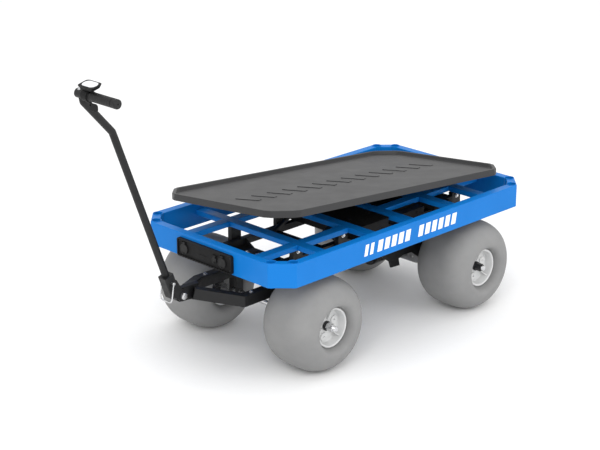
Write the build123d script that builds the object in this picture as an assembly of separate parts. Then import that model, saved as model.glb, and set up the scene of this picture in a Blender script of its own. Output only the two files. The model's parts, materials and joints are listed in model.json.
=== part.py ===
from build123d import *
import math
import os

# Powered beach cart: a blue hollow-section frame with a bar deck, a black lift-up tray, four balloon
# wheels, a turntable front axle with a wishbone tongue and a bent pull handle with a throttle.
# Millimetres. +Z up, -Y towards the handle, X across. While the cart is being built, y = 0 is the
# middle of the frame and z = 0 the ground; export moves the origin to the middle of the footprint.

# ---- frame and deck -------------------------------------------------------------------------
FRAME_WIDTH = 732.0
FRAME_LENGTH = 1306.0
BAND_HEIGHT = 86.0
BAND_THICK = 33.0
BAND_WALL = 3.0
FRAME_CHAMFER = 68.0
SOCKET_OUTER_R = 19.0
SOCKET_BORE_R = 16.0
SOCKET_FLOOR = 4.0
SOCKET_DRAIN_R = 4.0
SOCKET_PROUD = 2.0
SOCKET_TO_CORNER = 6.0
DECK_DROP = 26.0
BAR_WIDTH = 40.0
BAR_DEPTH = 20.0
BAR_WALL = 2.0
BATTERY_BAY_Y = (-133.0, 70.0)
FRONT_LONG_X = 172.0
REAR_LONG_X = 126.0

# ---- running gear ---------------------------------------------------------------------------
WHEEL_RADIUS = 171.5
WHEEL_TO_BAND = 24.0
TYRE_WIDTH = 247.0
TYRE_WALL = 6.0
BEAD_WIDTH = 13.0
RIM_BARREL_R = 66.0
RIM_LIP_R = 72.0
RIM_WALL = 4.0
RIM_HALF_WIDTH = 93.0 / 123.5 * TYRE_WIDTH / 2
FRONT_AXLE_SET_BACK = 242.0
REAR_AXLE_SET_BACK = 260.0
AXLE_R = 10.0
AXLE_PAST_WHEEL = 112.5
AXLE_TUBE_R = 16.0
HUB_R = 24.0
HUB_INNER = -44.0
HUB_OUTER = 62.0
WEB_AT = 12.0
WEB_THICK = 6.0
RIB_COUNT = 6
RUN_FIT = 0.05
BODY_GAP = 0.3

# ---- chassis under the deck ------------------------------------------------------------------
RAIL_INNER_X = 122.0
RAIL_WIDTH = 25.0
RAIL_BELOW_BAND = 33.0
RAIL_HEIGHT = 26.0
RAIL_WALL = 2.5
LEG_WIDTH = 20.0
LEG_DEPTH = 48.0
LEG_WALL = 2.5
FRONT_BEAM_X = 157.0
FRONT_BEAM_HEIGHT = 25.0
SIDE_PLATE_X = 130.0
SIDE_PLATE_THICK = 8.0
TYRE_TO_SIDE_PLATE = 18.0
GEARBOX_R = 62.0
GEARBOX_HALF = 58.0
MOTOR_R = 46.0

# ---- steering and tongue ----------------------------------------------------------------------
STEER_BEAM_HALF = 138.0
STEER_BEAM_SIZE = 36.0
STEER_BEAM_BELOW_RAIL = 75.0
BOX_WALL = 3.0
DISC_R = 70.0
DISC_THICK = 8.0
KINGPIN_R = 11.0
DROP_X = (99.0, 137.0)
ARM_WIDTH = 34.0
ARM_HEIGHT = 40.0
HEAD_AHEAD = 133.0
HEAD_ABOVE_BEAM = 41.0
HEAD_R = 24.0
LUG_HALF = 12.0
EAR_THICK = 10.0
PIVOT_R = 8.0
PIVOT_HEAD_R = 12.0

# ---- handle -----------------------------------------------------------------------------------
HANDLE_R = 12.7
HANDLE_WALL = 2.0
BAR_R = 11.0
BAR_START = -20.0
GRIP_R = 16.0
GRIP_START = 52.0
GRIP_END = 170.0
CAP_LENGTH = 8.0
HOUSING_R = 20.0
HOUSING_START = 16.0
HOUSING_END = 44.0
STALK_HALF = 9.0
DISPLAY_SIZE = (78.0, 48.0, 13.0)
DISPLAY_TILT = 14.0
DISPLAY_X = 44.0
DISPLAY_ABOVE_GRIP = 32.0
SOCKET_BLOCK = 40.0
SOCKET_BLOCK_LENGTH = 84.0
LYNCH_UP = 30.0
LYNCH_R = 4.0
LYNCH_HALF = 32.0
LYNCH_WIRE_R = 2.4

# ---- tray ----------------------------------------------------------------------------------------
TRAY_SIDE_GAP = 17.0
TRAY_END_GAP = 20.0
TRAY_HEIGHT = 24.0
TRAY_CHAMFER = 75.0
TRAY_RIM = 12.0
TRAY_FLOOR_DROP = 12.0
TRAY_WALL = 3.5
MARK_COUNT = 13
MARK_PITCH = 76.0
MARK_LENGTH = 92.0
MARK_WIDTH = 24.0
MARK_HEIGHT = 1.8
MARK_LEAN = 20.0
TRAY_SEAT_GAP = 0.5
TRAY_HEADING = 51.2
TRAY_TILT = 8.0
TRAY_PIVOT_INSET = (51.5, 42.0)
TRAY_PIVOT_DROP = 10.5
TRAY_PIN_R = 4.0
TRAY_BARREL_R = 8.0
TRAY_BARREL_HALF = 28.0
CORNER_PLATE_REACH = (173.0, 120.0)
CORNER_PLATE_DROP = 16.0
CORNER_PLATE_THICK = 6.0

# ---- front panel -----------------------------------------------------------------------------------
PANEL_X = (-145.0, 133.0)
PANEL_ABOVE_BAND_BOTTOM = 4.0
PANEL_HEIGHT = 67.0
PANEL_THICK = 12.0
PANEL_CORNER = 9.0
PORT_ABOVE_BAND_BOTTOM = 35.0
PORTS = {"left": (84.0, 19.0), "middle": (46.0, 11.0), "right": (-110.0, 19.0)}
CAP_THICK = 5.0
CAP_TAB = 8.0
CAP_BARREL_R = 2.8
CAP_PIN_R = 1.2
CAP_BARREL_HALF = 6.0

# ---- power units -----------------------------------------------------------------------------------
BATTERY_HALF = 215.0
CONTROLLER_HALF = 190.0
CHARGER_X = (-150.0, 180.0)
CASE_WALL = 3.0
LID_THICK = 5.0
CHARGER_PORT_R = 15.0

# ---- heights and places worked out from the sizes above ---------------------------------------------
AXLE_Z = WHEEL_RADIUS
BAND_BOTTOM = 2 * WHEEL_RADIUS + WHEEL_TO_BAND
FRAME_TOP = BAND_BOTTOM + BAND_HEIGHT
DECK_TOP = FRAME_TOP - DECK_DROP
BAR_BOTTOM = DECK_TOP - BAR_DEPTH
INNER_X = FRAME_WIDTH / 2 - BAND_THICK
INNER_Y = FRAME_LENGTH / 2 - BAND_THICK
FRAME_FRONT = -FRAME_LENGTH / 2
FRONT_AXLE_Y = FRAME_FRONT + FRONT_AXLE_SET_BACK
REAR_AXLE_Y = FRAME_LENGTH / 2 - REAR_AXLE_SET_BACK
CROSS_BAR_Y = (FRONT_AXLE_Y + 24, *BATTERY_BAY_Y, REAR_AXLE_Y - 93, REAR_AXLE_Y + 79)
WHEEL_X = SIDE_PLATE_X + TYRE_TO_SIDE_PLATE + TYRE_WIDTH / 2
AXLE_END_X = WHEEL_X + AXLE_PAST_WHEEL
RAIL_BOTTOM = BAND_BOTTOM - RAIL_BELOW_BAND
RAIL_TOP = RAIL_BOTTOM + RAIL_HEIGHT
LEG_FRONT_Y = (FRONT_AXLE_Y + 7, CROSS_BAR_Y[1] - 44, CROSS_BAR_Y[4] - 24)
RAIL_FRONT_Y = LEG_FRONT_Y[0] - 42
RAIL_REAR_Y = LEG_FRONT_Y[2] + 72
STEER_BEAM_Z = RAIL_BOTTOM - STEER_BEAM_BELOW_RAIL
HEAD_Y = FRAME_FRONT - HEAD_AHEAD
HEAD_Z = STEER_BEAM_Z + HEAD_ABOVE_BEAM
ARM_BEND = (118.0, FRAME_FRONT + 57, STEER_BEAM_Z - 2)
ARM_HEAD = (16.0, HEAD_Y + 51, HEAD_Z - 4)
HANDLE_FOOT = (0.0, HEAD_Y - 36, HEAD_Z + 30)
HANDLE_BEND = (0.0, HEAD_Y - 260, HEAD_Z + 630)
HANDLE_SHOULDER = (0.0, HEAD_Y - 368, HEAD_Z + 750)
GRIP_AXIS = (HEAD_Y - 374, HEAD_Z + 778)
DISPLAY_Z = GRIP_AXIS[1] + DISPLAY_ABOVE_GRIP
TRAY_WIDTH = 2 * (INNER_X - TRAY_SIDE_GAP)
TRAY_LENGTH = 2 * (INNER_Y - TRAY_END_GAP)
PANEL_BOTTOM = BAND_BOTTOM + PANEL_ABOVE_BAND_BOTTOM
PANEL_Z = (PANEL_BOTTOM, PANEL_BOTTOM + PANEL_HEIGHT)
PORT_Z = BAND_BOTTOM + PORT_ABOVE_BAND_BOTTOM
BATTERY = (-BATTERY_HALF, BATTERY_HALF, CROSS_BAR_Y[1] + 28, CROSS_BAR_Y[2] - 28, RAIL_TOP + 1, DECK_TOP - 4)
CONTROLLER = (-CONTROLLER_HALF, CONTROLLER_HALF, CROSS_BAR_Y[2] + 42, CROSS_BAR_Y[3] - 38,
              RAIL_TOP + 1, BAR_BOTTOM - 2)
CHARGER = (*CHARGER_X, CROSS_BAR_Y[3] + 36, CROSS_BAR_Y[4] - 36, RAIL_TOP + 1, BAR_BOTTOM - 7)


def block(x0, x1, y0, y1, z0, z1):
    """A box between two corners."""
    return Pos((x0 + x1) / 2, (y0 + y1) / 2, (z0 + z1) / 2) * Box(x1 - x0, y1 - y0, z1 - z0)


def rod(axis, radius, start, end, a, b):
    """A cylinder along X, Y or Z from start to end; a and b place it on the other two axes."""
    middle = (start + end) / 2
    shape = Cylinder(radius, end - start)
    if axis == "x":
        return Pos(middle, a, b) * Rot(0, 90, 0) * shape
    if axis == "y":
        return Pos(a, middle, b) * Rot(90, 0, 0) * shape
    return Pos(a, b, middle) * shape


def hollow_bar(axis, x0, x1, y0, y1, z0, z1, wall):
    """A square tube, open at both ends of its axis."""
    grow = {"x": (0, wall, wall), "y": (wall, 0, wall), "z": (wall, wall, 0)}[axis]
    inner = block(x0 + grow[0], x1 - grow[0], y0 + grow[1], y1 - grow[1], z0 + grow[2], z1 - grow[2])
    return block(x0, x1, y0, y1, z0, z1) - inner


def chamfered_plate(width, length, corner, z0, z1):
    """A plate with its four corners cut at 45 degrees."""
    outline = Polygon(
        (width / 2, length / 2 - corner),
        (width / 2 - corner, length / 2),
        (corner - width / 2, length / 2),
        (-width / 2, length / 2 - corner),
        (-width / 2, corner - length / 2),
        (corner - width / 2, -length / 2),
        (width / 2 - corner, -length / 2),
        (width / 2, corner - length / 2),
    )
    return Pos(0, 0, z0) * extrude(outline, z1 - z0)


def plate_yz(points, x0, x1):
    """A flat plate of constant thickness whose outline lies in the YZ plane."""
    face = Plane.YZ * Polygon(*points, align=None)
    return Pos(x0, 0, 0) * extrude(face, x1 - x0)


def strut(start, end, width, height, wall=0.0):
    """A square bar between two points, kept upright, hollow where a wall is given."""
    start, end = Vector(*start), Vector(*end)
    along = (end - start).normalized()
    side = along.cross(Vector(0, 0, 1)).normalized()
    plane = Plane(origin=start, x_dir=side, z_dir=along)
    section = Rectangle(width, height)
    if wall:
        section = section - Rectangle(width - 2 * wall, height - 2 * wall)
    return extrude(plane * section, (end - start).length)


def mirrored(shape):
    """A shape and its twin on the other side of the cart."""
    return [shape, shape.mirror(Plane.YZ)]


def solids_of(*shapes):
    """Every solid of the given shapes, as a plain list."""
    found = []
    for shape in shapes:
        if isinstance(shape, (list, tuple)):
            found += solids_of(*shape)
        else:
            found += list(shape.solids())
    return found


# ---- frame -----------------------------------------------------------------------------------------

def inset_corner(corner, inset):
    """The chamfer that keeps an even wall when a chamfered outline is moved in."""
    return corner - inset * (2 - math.sqrt(2))


def socket_centres():
    """The eight stake sockets, a pair at each cut corner, just inside the outer wall."""
    inset = SOCKET_OUTER_R + BAND_WALL
    along_side = FRAME_LENGTH / 2 - FRAME_CHAMFER - SOCKET_TO_CORNER
    along_end = FRAME_WIDTH / 2 - FRAME_CHAMFER - SOCKET_TO_CORNER
    places = []
    for sx in (-1, 1):
        for sy in (-1, 1):
            places.append((sx * (FRAME_WIDTH / 2 - inset), sy * along_side))
            places.append((sx * along_end, sy * (FRAME_LENGTH / 2 - inset)))
    return places


def perimeter_frame():
    band = chamfered_plate(FRAME_WIDTH, FRAME_LENGTH, FRAME_CHAMFER, BAND_BOTTOM, FRAME_TOP)
    band -= chamfered_plate(2 * INNER_X, 2 * INNER_Y, inset_corner(FRAME_CHAMFER, BAND_THICK),
                            BAND_BOTTOM, FRAME_TOP)
    outer = chamfered_plate(FRAME_WIDTH - 2 * BAND_WALL, FRAME_LENGTH - 2 * BAND_WALL,
                            inset_corner(FRAME_CHAMFER, BAND_WALL), BAND_BOTTOM, FRAME_TOP - BAND_WALL)
    reach = BAND_THICK - BAND_WALL
    inner = chamfered_plate(FRAME_WIDTH - 2 * reach, FRAME_LENGTH - 2 * reach,
                            inset_corner(FRAME_CHAMFER, reach), BAND_BOTTOM, FRAME_TOP - BAND_WALL)
    band -= outer - inner
    for x, y in socket_centres():
        band -= rod("z", SOCKET_OUTER_R, BAND_BOTTOM, FRAME_TOP, x, y)
    return band


def stake_sockets():
    sockets = []
    for x, y in socket_centres():
        tube = rod("z", SOCKET_OUTER_R, BAND_BOTTOM, FRAME_TOP + SOCKET_PROUD, x, y)
        tube -= rod("z", SOCKET_BORE_R, BAND_BOTTOM + SOCKET_FLOOR, FRAME_TOP + SOCKET_PROUD, x, y)
        tube -= rod("z", SOCKET_DRAIN_R, BAND_BOTTOM, BAND_BOTTOM + SOCKET_FLOOR, x, y)
        sockets.append(tube)
    return sockets


def cross_bars():
    half = BAR_WIDTH / 2
    return [hollow_bar("x", -INNER_X, INNER_X, y - half, y + half, BAR_BOTTOM, DECK_TOP, BAR_WALL)
            for y in CROSS_BAR_Y]


def long_bars():
    """Fore-and-aft bars between the cross bars; the battery bay between the second and third is open."""
    half = BAR_WIDTH / 2
    first, second, third, fourth, fifth = CROSS_BAR_Y
    spans = [
        (FRONT_LONG_X, -INNER_Y, first - half),
        (FRONT_LONG_X, first + half, second - half),
        (REAR_LONG_X, third + half, fourth - half),
        (REAR_LONG_X, fourth + half, fifth - half),
        (REAR_LONG_X, fifth + half, INNER_Y),
    ]
    bars = []
    for x, y0, y1 in spans:
        bars += mirrored(hollow_bar("y", x - half, x + half, y0, y1, BAR_BOTTOM, DECK_TOP, BAR_WALL))
    return bars


# ---- chassis ----------------------------------------------------------------------------------------

RAIL_OUTER_X = RAIL_INNER_X + RAIL_WIDTH
FRONT_BEAM_BOTTOM = RAIL_BOTTOM - FRONT_BEAM_HEIGHT


def chassis_rails():
    return mirrored(hollow_bar("y", RAIL_INNER_X, RAIL_OUTER_X, RAIL_FRONT_Y, RAIL_REAR_Y,
                               RAIL_BOTTOM, RAIL_TOP, RAIL_WALL))


def leg(front_y):
    return hollow_bar("z", RAIL_OUTER_X, RAIL_OUTER_X + LEG_WIDTH, front_y, front_y + LEG_DEPTH,
                      RAIL_BOTTOM, BAR_BOTTOM, LEG_WALL)


def chassis_beams():
    """Three cross-members: one under the rails over the steering, two between them."""
    front = hollow_bar("x", -FRONT_BEAM_X, FRONT_BEAM_X, RAIL_FRONT_Y, LEG_FRONT_Y[0] + LEG_DEPTH,
                       FRONT_BEAM_BOTTOM, RAIL_BOTTOM, BOX_WALL)
    front -= rod("z", KINGPIN_R, FRONT_BEAM_BOTTOM, RAIL_BOTTOM, 0, FRONT_AXLE_Y)
    behind_gussets = LEG_FRONT_Y[0] + LEG_DEPTH + BODY_GAP
    second = max(LEG_FRONT_Y[1] - 2 * BAR_WIDTH, behind_gussets)
    others = [hollow_bar("x", -RAIL_INNER_X, RAIL_INNER_X, y, y + BAR_WIDTH, RAIL_BOTTOM, RAIL_TOP, BOX_WALL)
              for y in (second, REAR_AXLE_Y + 2 * BAR_WIDTH)]
    return [front] + others


def gussets():
    """Triangles that stiffen the feet of the front legs, on the front cross-member."""
    size = 44.0
    thick = 6.0
    y0 = LEG_FRONT_Y[0] + LEG_DEPTH - thick
    foot = RAIL_INNER_X
    outline = Polygon((foot, RAIL_BOTTOM), (foot, RAIL_TOP), (foot - size, RAIL_BOTTOM), align=None)
    piece = extrude(Plane.XZ.offset(-y0) * outline, -thick)
    return mirrored(piece)


def deck_struts():
    """Two raked struts from the second cross-member up to the second deck bar."""
    thick = 16.0
    depth = 26.0
    y_low = LEG_FRONT_Y[1] - BAR_WIDTH - 4
    y_high = CROSS_BAR_Y[1] - 2
    slab = plate_yz([(y_low - depth, RAIL_TOP), (y_low, RAIL_TOP), (y_high, BAR_BOTTOM),
                     (y_high - depth, BAR_BOTTOM)], RAIL_INNER_X - 2 * thick, RAIL_INNER_X - thick)
    return mirrored(slab)


def side_plates():
    """Deep plates that carry the rear axle, with a tie-down hook on the front edge."""
    r = AXLE_TUBE_R
    front_and_hook = [(-331, 90.5), (-285, 50.5), (-253, 28.5), (-244, 2.5), (-196, -0.5), (-202, 28.5),
                      (-181, 35.5), (-131, 34.5), (-93, 6.5)]
    round_axle = [(-2.4 * r, -1.5 * r), (-r, -2.2 * r), (r, -2.2 * r), (2.4 * r, -1.4 * r)]
    outline = [(REAR_AXLE_Y - 331, RAIL_BOTTOM)]
    outline += [(REAR_AXLE_Y + y, AXLE_Z + z) for y, z in front_and_hook + round_axle]
    outline.append((REAR_AXLE_Y + 4.4 * r, RAIL_BOTTOM))
    plate = plate_yz(outline, SIDE_PLATE_X - SIDE_PLATE_THICK, SIDE_PLATE_X)
    plate -= rod("x", r, 0, 2 * SIDE_PLATE_X, REAR_AXLE_Y, AXLE_Z)
    return mirrored(plate)


def axle_tubes():
    x0 = GEARBOX_HALF
    x1 = WHEEL_X + HUB_INNER - 4
    tube = rod("x", AXLE_TUBE_R, x0, x1, REAR_AXLE_Y, AXLE_Z)
    tube -= rod("x", AXLE_R + RUN_FIT, x0, x1, REAR_AXLE_Y, AXLE_Z)
    return mirrored(tube)


def gearbox_housing():
    drum = rod("x", GEARBOX_R, -GEARBOX_HALF, GEARBOX_HALF, REAR_AXLE_Y, AXLE_Z)
    nose = block(-GEARBOX_HALF + 12, GEARBOX_HALF - 12, REAR_AXLE_Y - 110, REAR_AXLE_Y,
                 AXLE_Z - 20, AXLE_Z + GEARBOX_R - 4)
    neck = block(-34, 34, REAR_AXLE_Y - 20, REAR_AXLE_Y + 20, AXLE_Z, RAIL_BOTTOM)
    shell = drum + nose + neck
    wall = 5.0
    shell -= rod("x", GEARBOX_R - wall, wall - GEARBOX_HALF, GEARBOX_HALF - wall, REAR_AXLE_Y, AXLE_Z)
    shell -= rod("x", AXLE_R + RUN_FIT, -GEARBOX_HALF, GEARBOX_HALF, REAR_AXLE_Y, AXLE_Z)
    return shell


def gearbox_beam():
    """The cross-member that the gearbox neck bolts up to."""
    return hollow_bar("x", -RAIL_INNER_X, RAIL_INNER_X, REAR_AXLE_Y - 20, REAR_AXLE_Y + 20,
                      RAIL_BOTTOM, RAIL_TOP, BOX_WALL)


def motor_can():
    y1 = REAR_AXLE_Y - 110
    y0 = y1 - 120
    z = AXLE_Z + 22
    can = rod("y", MOTOR_R, y0, y1, 0, z)
    can += rod("y", MOTOR_R - 8, y0 - 10, y0, 0, z)
    for turn in range(0, 360, 30):
        x = (MOTOR_R + 1) * math.cos(math.radians(turn))
        up = (MOTOR_R + 1) * math.sin(math.radians(turn))
        can -= rod("y", 3, y0 + 14, y1 - 14, x, z + up)
    return can


# ---- power units ----------------------------------------------------------------------------------

def battery_case():
    x0, x1, y0, y1, z0, z1 = BATTERY
    case = block(x0, x1, y0, y1, z0, z1 - LID_THICK)
    case = fillet(case.edges().filter_by(Axis.Z), 12)
    case -= block(x0 + CASE_WALL, x1 - CASE_WALL, y0 + CASE_WALL, y1 - CASE_WALL, z0 + CASE_WALL, z1)
    for side in (-1, 1):
        grip = block(-6, 6, y0 + 38, y1 - 38, z0 + 18, z0 + 34)
        case -= Pos(side * (x1 + 4.5), 0, 0) * grip
    return case


def battery_lid():
    x0, x1, y0, y1, z0, z1 = BATTERY
    lid = block(x0, x1, y0, y1, z1 - LID_THICK, z1)
    lid = fillet(lid.edges().filter_by(Axis.Z), 12)
    return lid


def battery_cells():
    """Rows of round cells standing inside the case."""
    x0, x1, y0, y1, z0, z1 = BATTERY
    pitch_x = (x1 - x0 - 2 * CASE_WALL - 20) / 8
    pitch_y = (y1 - y0 - 2 * CASE_WALL - 8) / 3
    radius = min(pitch_x, pitch_y) / 2 - 1
    cells = []
    for column in range(8):
        for row in range(3):
            x = x0 + CASE_WALL + 10 + pitch_x * (column + 0.5)
            y = y0 + CASE_WALL + 4 + pitch_y * (row + 0.5)
            cells.append(rod("z", radius, z0 + CASE_WALL, z1 - LID_THICK - 1, x, y))
    return cells


def controller_case():
    x0, x1, y0, y1, z0, z1 = CONTROLLER
    case = block(x0, x1, y0, y1, z0, z1)
    case = fillet(case.edges().filter_by(Axis.Z), 8)
    wall = CASE_WALL
    case -= block(x0 + wall, x1 - wall, y0 + wall, y1 - wall, z0 + wall, z1 - wall)
    return case + rod("x", 5, x1, x1 + 4, (y0 + y1) / 2 + 32, z1 - 14)


def charger_case():
    x0, x1, y0, y1, z0, z1 = CHARGER
    case = block(x0, x1, y0, y1, z0, z1)
    case = fillet(case.edges().filter_by(Axis.Z), 8)
    wall = CASE_WALL
    case -= block(x0 + wall, x1 - wall, y0 + wall, y1 - wall, z0 + wall, z1 - wall)
    y = y0 + 0.62 * (y1 - y0)
    z = z1 - CHARGER_PORT_R - 2
    port = rod("x", CHARGER_PORT_R, x1, x1 + 14, y, z)
    port -= rod("x", CHARGER_PORT_R - 4, x1 + 2, x1 + 14, y, z)
    return case + port


# ---- front panel --------------------------------------------------------------------------------------

PANEL_BACK = -FRAME_LENGTH / 2
PANEL_FRONT = PANEL_BACK - PANEL_THICK


def panel_plate():
    """The moulded port panel: a raised border round a recessed face, with a well behind each cap."""
    x0, x1 = PANEL_X
    z0, z1 = PANEL_Z
    plate = block(x0, x1, PANEL_FRONT, PANEL_BACK, z0, z1)
    plate = fillet(plate.edges().filter_by(Axis.Y), PANEL_CORNER)
    face = block(x0 + 5, x1 - 5, PANEL_FRONT, PANEL_FRONT + CAP_THICK, z0 + 5, z1 - 5)
    plate -= fillet(face.edges().filter_by(Axis.Y), PANEL_CORNER - 5)
    for x, radius in PORTS.values():
        plate -= rod("y", radius - 4, PANEL_FRONT, PANEL_BACK, x, PORT_Z)
    middle = (x0 + x1) / 2
    slot_floor = PANEL_FRONT + CAP_THICK + 1
    plate -= block(middle - 26, middle + 14, PANEL_FRONT, slot_floor, PORT_Z - 1.5, PORT_Z + 1.5)
    for x, radius in PORTS.values():
        hinge_z = cap_hinge_z(radius)
        inner = CAP_BARREL_HALF + BODY_GAP
        lug = rod("x", CAP_BARREL_R, inner, inner + 3, CAP_HINGE_Y, hinge_z)
        lug += block(inner, inner + 3, CAP_HINGE_Y, PANEL_FRONT + CAP_THICK,
                     hinge_z - CAP_BARREL_R, hinge_z + CAP_BARREL_R)
        pin = rod("x", CAP_PIN_R, -inner - 3, inner + 3, CAP_HINGE_Y, hinge_z)
        plate += Pos(x, 0, 0) * (lug + lug.mirror(Plane.YZ) + pin)
    return plate


def port_sockets():
    """The electrical inserts inside the three wells, flush with the frame face."""
    inserts = []
    for x, radius in PORTS.values():
        body = rod("y", radius - 4, PANEL_BACK - 5, PANEL_BACK, x, PORT_Z)
        for side in (-1, 1):
            body -= rod("y", 1.6, PANEL_BACK - 5, PANEL_BACK - 2, x + side * (radius - 4) / 2.5, PORT_Z)
        inserts.append(body)
    return inserts


def cap_hinge_z(radius):
    return PORT_Z + radius + CAP_TAB / 2


CAP_HINGE_Y = PANEL_FRONT + CAP_THICK - CAP_BARREL_R - BODY_GAP


def port_cap(name):
    """A round flip-up cap, hung from a tab above the port."""
    x, radius = PORTS[name]
    back = PANEL_FRONT + CAP_THICK - BODY_GAP
    front = back - CAP_THICK
    hinge_z = cap_hinge_z(radius)
    cap = rod("y", radius, front, back, x, PORT_Z)
    cap += block(x - 4, x + 4, front + 1, back, PORT_Z, hinge_z)
    cap += rod("x", CAP_BARREL_R, x - CAP_BARREL_HALF, x + CAP_BARREL_HALF, CAP_HINGE_Y, hinge_z)
    cap += block(x - 4, x + 4, front - 3, front, PORT_Z - radius + 1, PORT_Z - radius + 5)
    return cap - rod("x", CAP_PIN_R + RUN_FIT, x - 2 * CAP_BARREL_HALF, x + 2 * CAP_BARREL_HALF,
                     CAP_HINGE_Y, hinge_z)


# ---- tray -------------------------------------------------------------------------------------------------

HEADING = math.radians(TRAY_HEADING)
TRAY_AXIS = (-math.cos(HEADING), -math.sin(HEADING), 0.0)
TRAY_BOTTOM = DECK_TOP + TRAY_SEAT_GAP
TRAY_PIVOT = (TRAY_PIVOT_INSET[0] - TRAY_WIDTH / 2, TRAY_LENGTH / 2 - TRAY_PIVOT_INSET[1],
              TRAY_BOTTOM - TRAY_PIVOT_DROP)
TRAY_TOP = TRAY_BOTTOM + TRAY_HEIGHT
TRAY_FLOOR = TRAY_TOP - TRAY_FLOOR_DROP
TRAY_HINGE = Axis(TRAY_PIVOT, TRAY_AXIS)


def lifted(shape):
    """Swing a shape from the tray's seated place up about the corner hinge."""
    return shape.rotate(TRAY_HINGE, TRAY_TILT)


def tray_outline(inset, z0, z1):
    return chamfered_plate(TRAY_WIDTH - 2 * inset, TRAY_LENGTH - 2 * inset,
                           inset_corner(TRAY_CHAMFER, inset), z0, z1)


def tray_shell():
    """A shallow moulded tray: rolled rim, sunken floor and a row of raised grip ribs."""
    shell = tray_outline(0, TRAY_BOTTOM, TRAY_TOP)
    shell -= tray_outline(TRAY_RIM, TRAY_FLOOR, TRAY_TOP)
    underside = tray_outline(TRAY_WALL, TRAY_BOTTOM, TRAY_FLOOR - TRAY_WALL)
    shell -= underside
    skirt = tray_outline(TRAY_WALL, TRAY_BOTTOM, TRAY_TOP - TRAY_WALL)
    skirt -= tray_outline(TRAY_RIM - TRAY_WALL, TRAY_BOTTOM, TRAY_TOP - TRAY_WALL)
    shell -= skirt
    for number in range(-(MARK_COUNT // 2), MARK_COUNT // 2 + 1):
        mark = Box(MARK_LENGTH, MARK_WIDTH, MARK_HEIGHT)
        shell += Pos(0, number * MARK_PITCH, TRAY_FLOOR + MARK_HEIGHT / 2) * Rot(0, 0, MARK_LEAN) * mark
    return lifted(shell)


def tray_ribs():
    """Stiffening ribs glued under the tray floor, clear of the deck bars when it is seated."""
    top = TRAY_FLOOR - TRAY_WALL
    x = TRAY_WIDTH / 2 - 60
    y = TRAY_LENGTH / 2 - 110
    ribs = [block(side * 150 - 2, side * 150 + 2, -y, y, TRAY_BOTTOM, top) for side in (-1, 1)]
    ribs += [block(-148, 148, at - 2, at + 2, TRAY_BOTTOM, top) for at in (-y / 2, 0, y / 2)]
    ribs += mirrored(block(152, x, -2, 2, TRAY_BOTTOM, top))
    return lifted(Compound(children=solids_of(ribs)))


def on_tray_hinge(shape):
    """Place a shape built along X at the origin onto the corner hinge line."""
    return Pos(*TRAY_PIVOT) * Rot(0, 0, TRAY_HEADING) * shape


def tray_hinge_base():
    """A gusset plate across the frame's rear right corner, with two upright hinge cheeks."""
    top = TRAY_PIVOT[2] - CORNER_PLATE_DROP
    corner = inset_corner(FRAME_CHAMFER, BAND_THICK)
    reach_x, reach_y = CORNER_PLATE_REACH
    outline = Polygon((-INNER_X, INNER_Y - reach_y), (reach_x - INNER_X, INNER_Y),
                      (corner - INNER_X, INNER_Y), (-INNER_X, INNER_Y - corner), align=None)
    plate = Pos(0, 0, top - CORNER_PLATE_THICK) * extrude(outline, CORNER_PLATE_THICK)
    for x, y in socket_centres():
        plate -= rod("z", SOCKET_OUTER_R, BAND_BOTTOM, FRAME_TOP, x, y)
    inner = TRAY_BARREL_HALF + BODY_GAP
    cheek = rod("x", TRAY_BARREL_R, inner, inner + 10, 0, 0)
    cheek += block(inner, inner + 10, -TRAY_BARREL_R, TRAY_BARREL_R, -CORNER_PLATE_DROP, 0)
    cheeks = cheek + cheek.mirror(Plane.YZ)
    cheeks -= rod("x", TRAY_PIN_R, -inner - 10, inner + 10, 0, 0)
    return plate + on_tray_hinge(cheeks)


def tray_hinge_pin():
    reach = TRAY_BARREL_HALF + BODY_GAP + 10
    pin = rod("x", TRAY_PIN_R, -reach - 2, reach, 0, 0)
    return on_tray_hinge(pin + rod("x", TRAY_PIN_R + 3, reach, reach + 3, 0, 0))


def tray_knuckle():
    """The barrel and foot under the tray corner that turn on the hinge pin."""
    half = TRAY_BARREL_HALF
    barrel = rod("x", TRAY_BARREL_R, -half, half, 0, 0)
    lift = TRAY_FLOOR - TRAY_WALL - TRAY_PIVOT[2]
    arm = block(-half, half, -34, 0, 0, lift)
    arm -= block(-half, half, -34, -TRAY_BARREL_R, 0, lift - 5)
    piece = barrel + arm - rod("x", TRAY_PIN_R + RUN_FIT, -half, half, 0, 0)
    return lifted(on_tray_hinge(piece))


# ---- front steering and tongue --------------------------------------------------------------------

STEER_TOP = STEER_BEAM_Z + STEER_BEAM_SIZE / 2
STEER_BOTTOM = STEER_BEAM_Z - STEER_BEAM_SIZE / 2
LOWER_DISC_TOP = STEER_TOP + DISC_THICK
UPPER_DISC_BOTTOM = LOWER_DISC_TOP + BODY_GAP


def turntable_upper():
    disc = rod("z", DISC_R, UPPER_DISC_BOTTOM, UPPER_DISC_BOTTOM + DISC_THICK, 0, FRONT_AXLE_Y)
    neck = rod("z", DISC_R / 2, UPPER_DISC_BOTTOM, FRONT_BEAM_BOTTOM, 0, FRONT_AXLE_Y)
    return disc + neck - rod("z", KINGPIN_R, STEER_TOP, FRONT_BEAM_BOTTOM, 0, FRONT_AXLE_Y)


def kingpin():
    pin = rod("z", KINGPIN_R, STEER_BOTTOM + BOX_WALL, RAIL_BOTTOM, 0, FRONT_AXLE_Y)
    return pin + rod("z", KINGPIN_R + 6, RAIL_BOTTOM, RAIL_BOTTOM + 8, 0, FRONT_AXLE_Y)


def turntable_lower():
    disc = rod("z", DISC_R, STEER_TOP, LOWER_DISC_TOP, 0, FRONT_AXLE_Y)
    return disc - rod("z", KINGPIN_R + RUN_FIT, STEER_TOP, LOWER_DISC_TOP, 0, FRONT_AXLE_Y)


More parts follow.
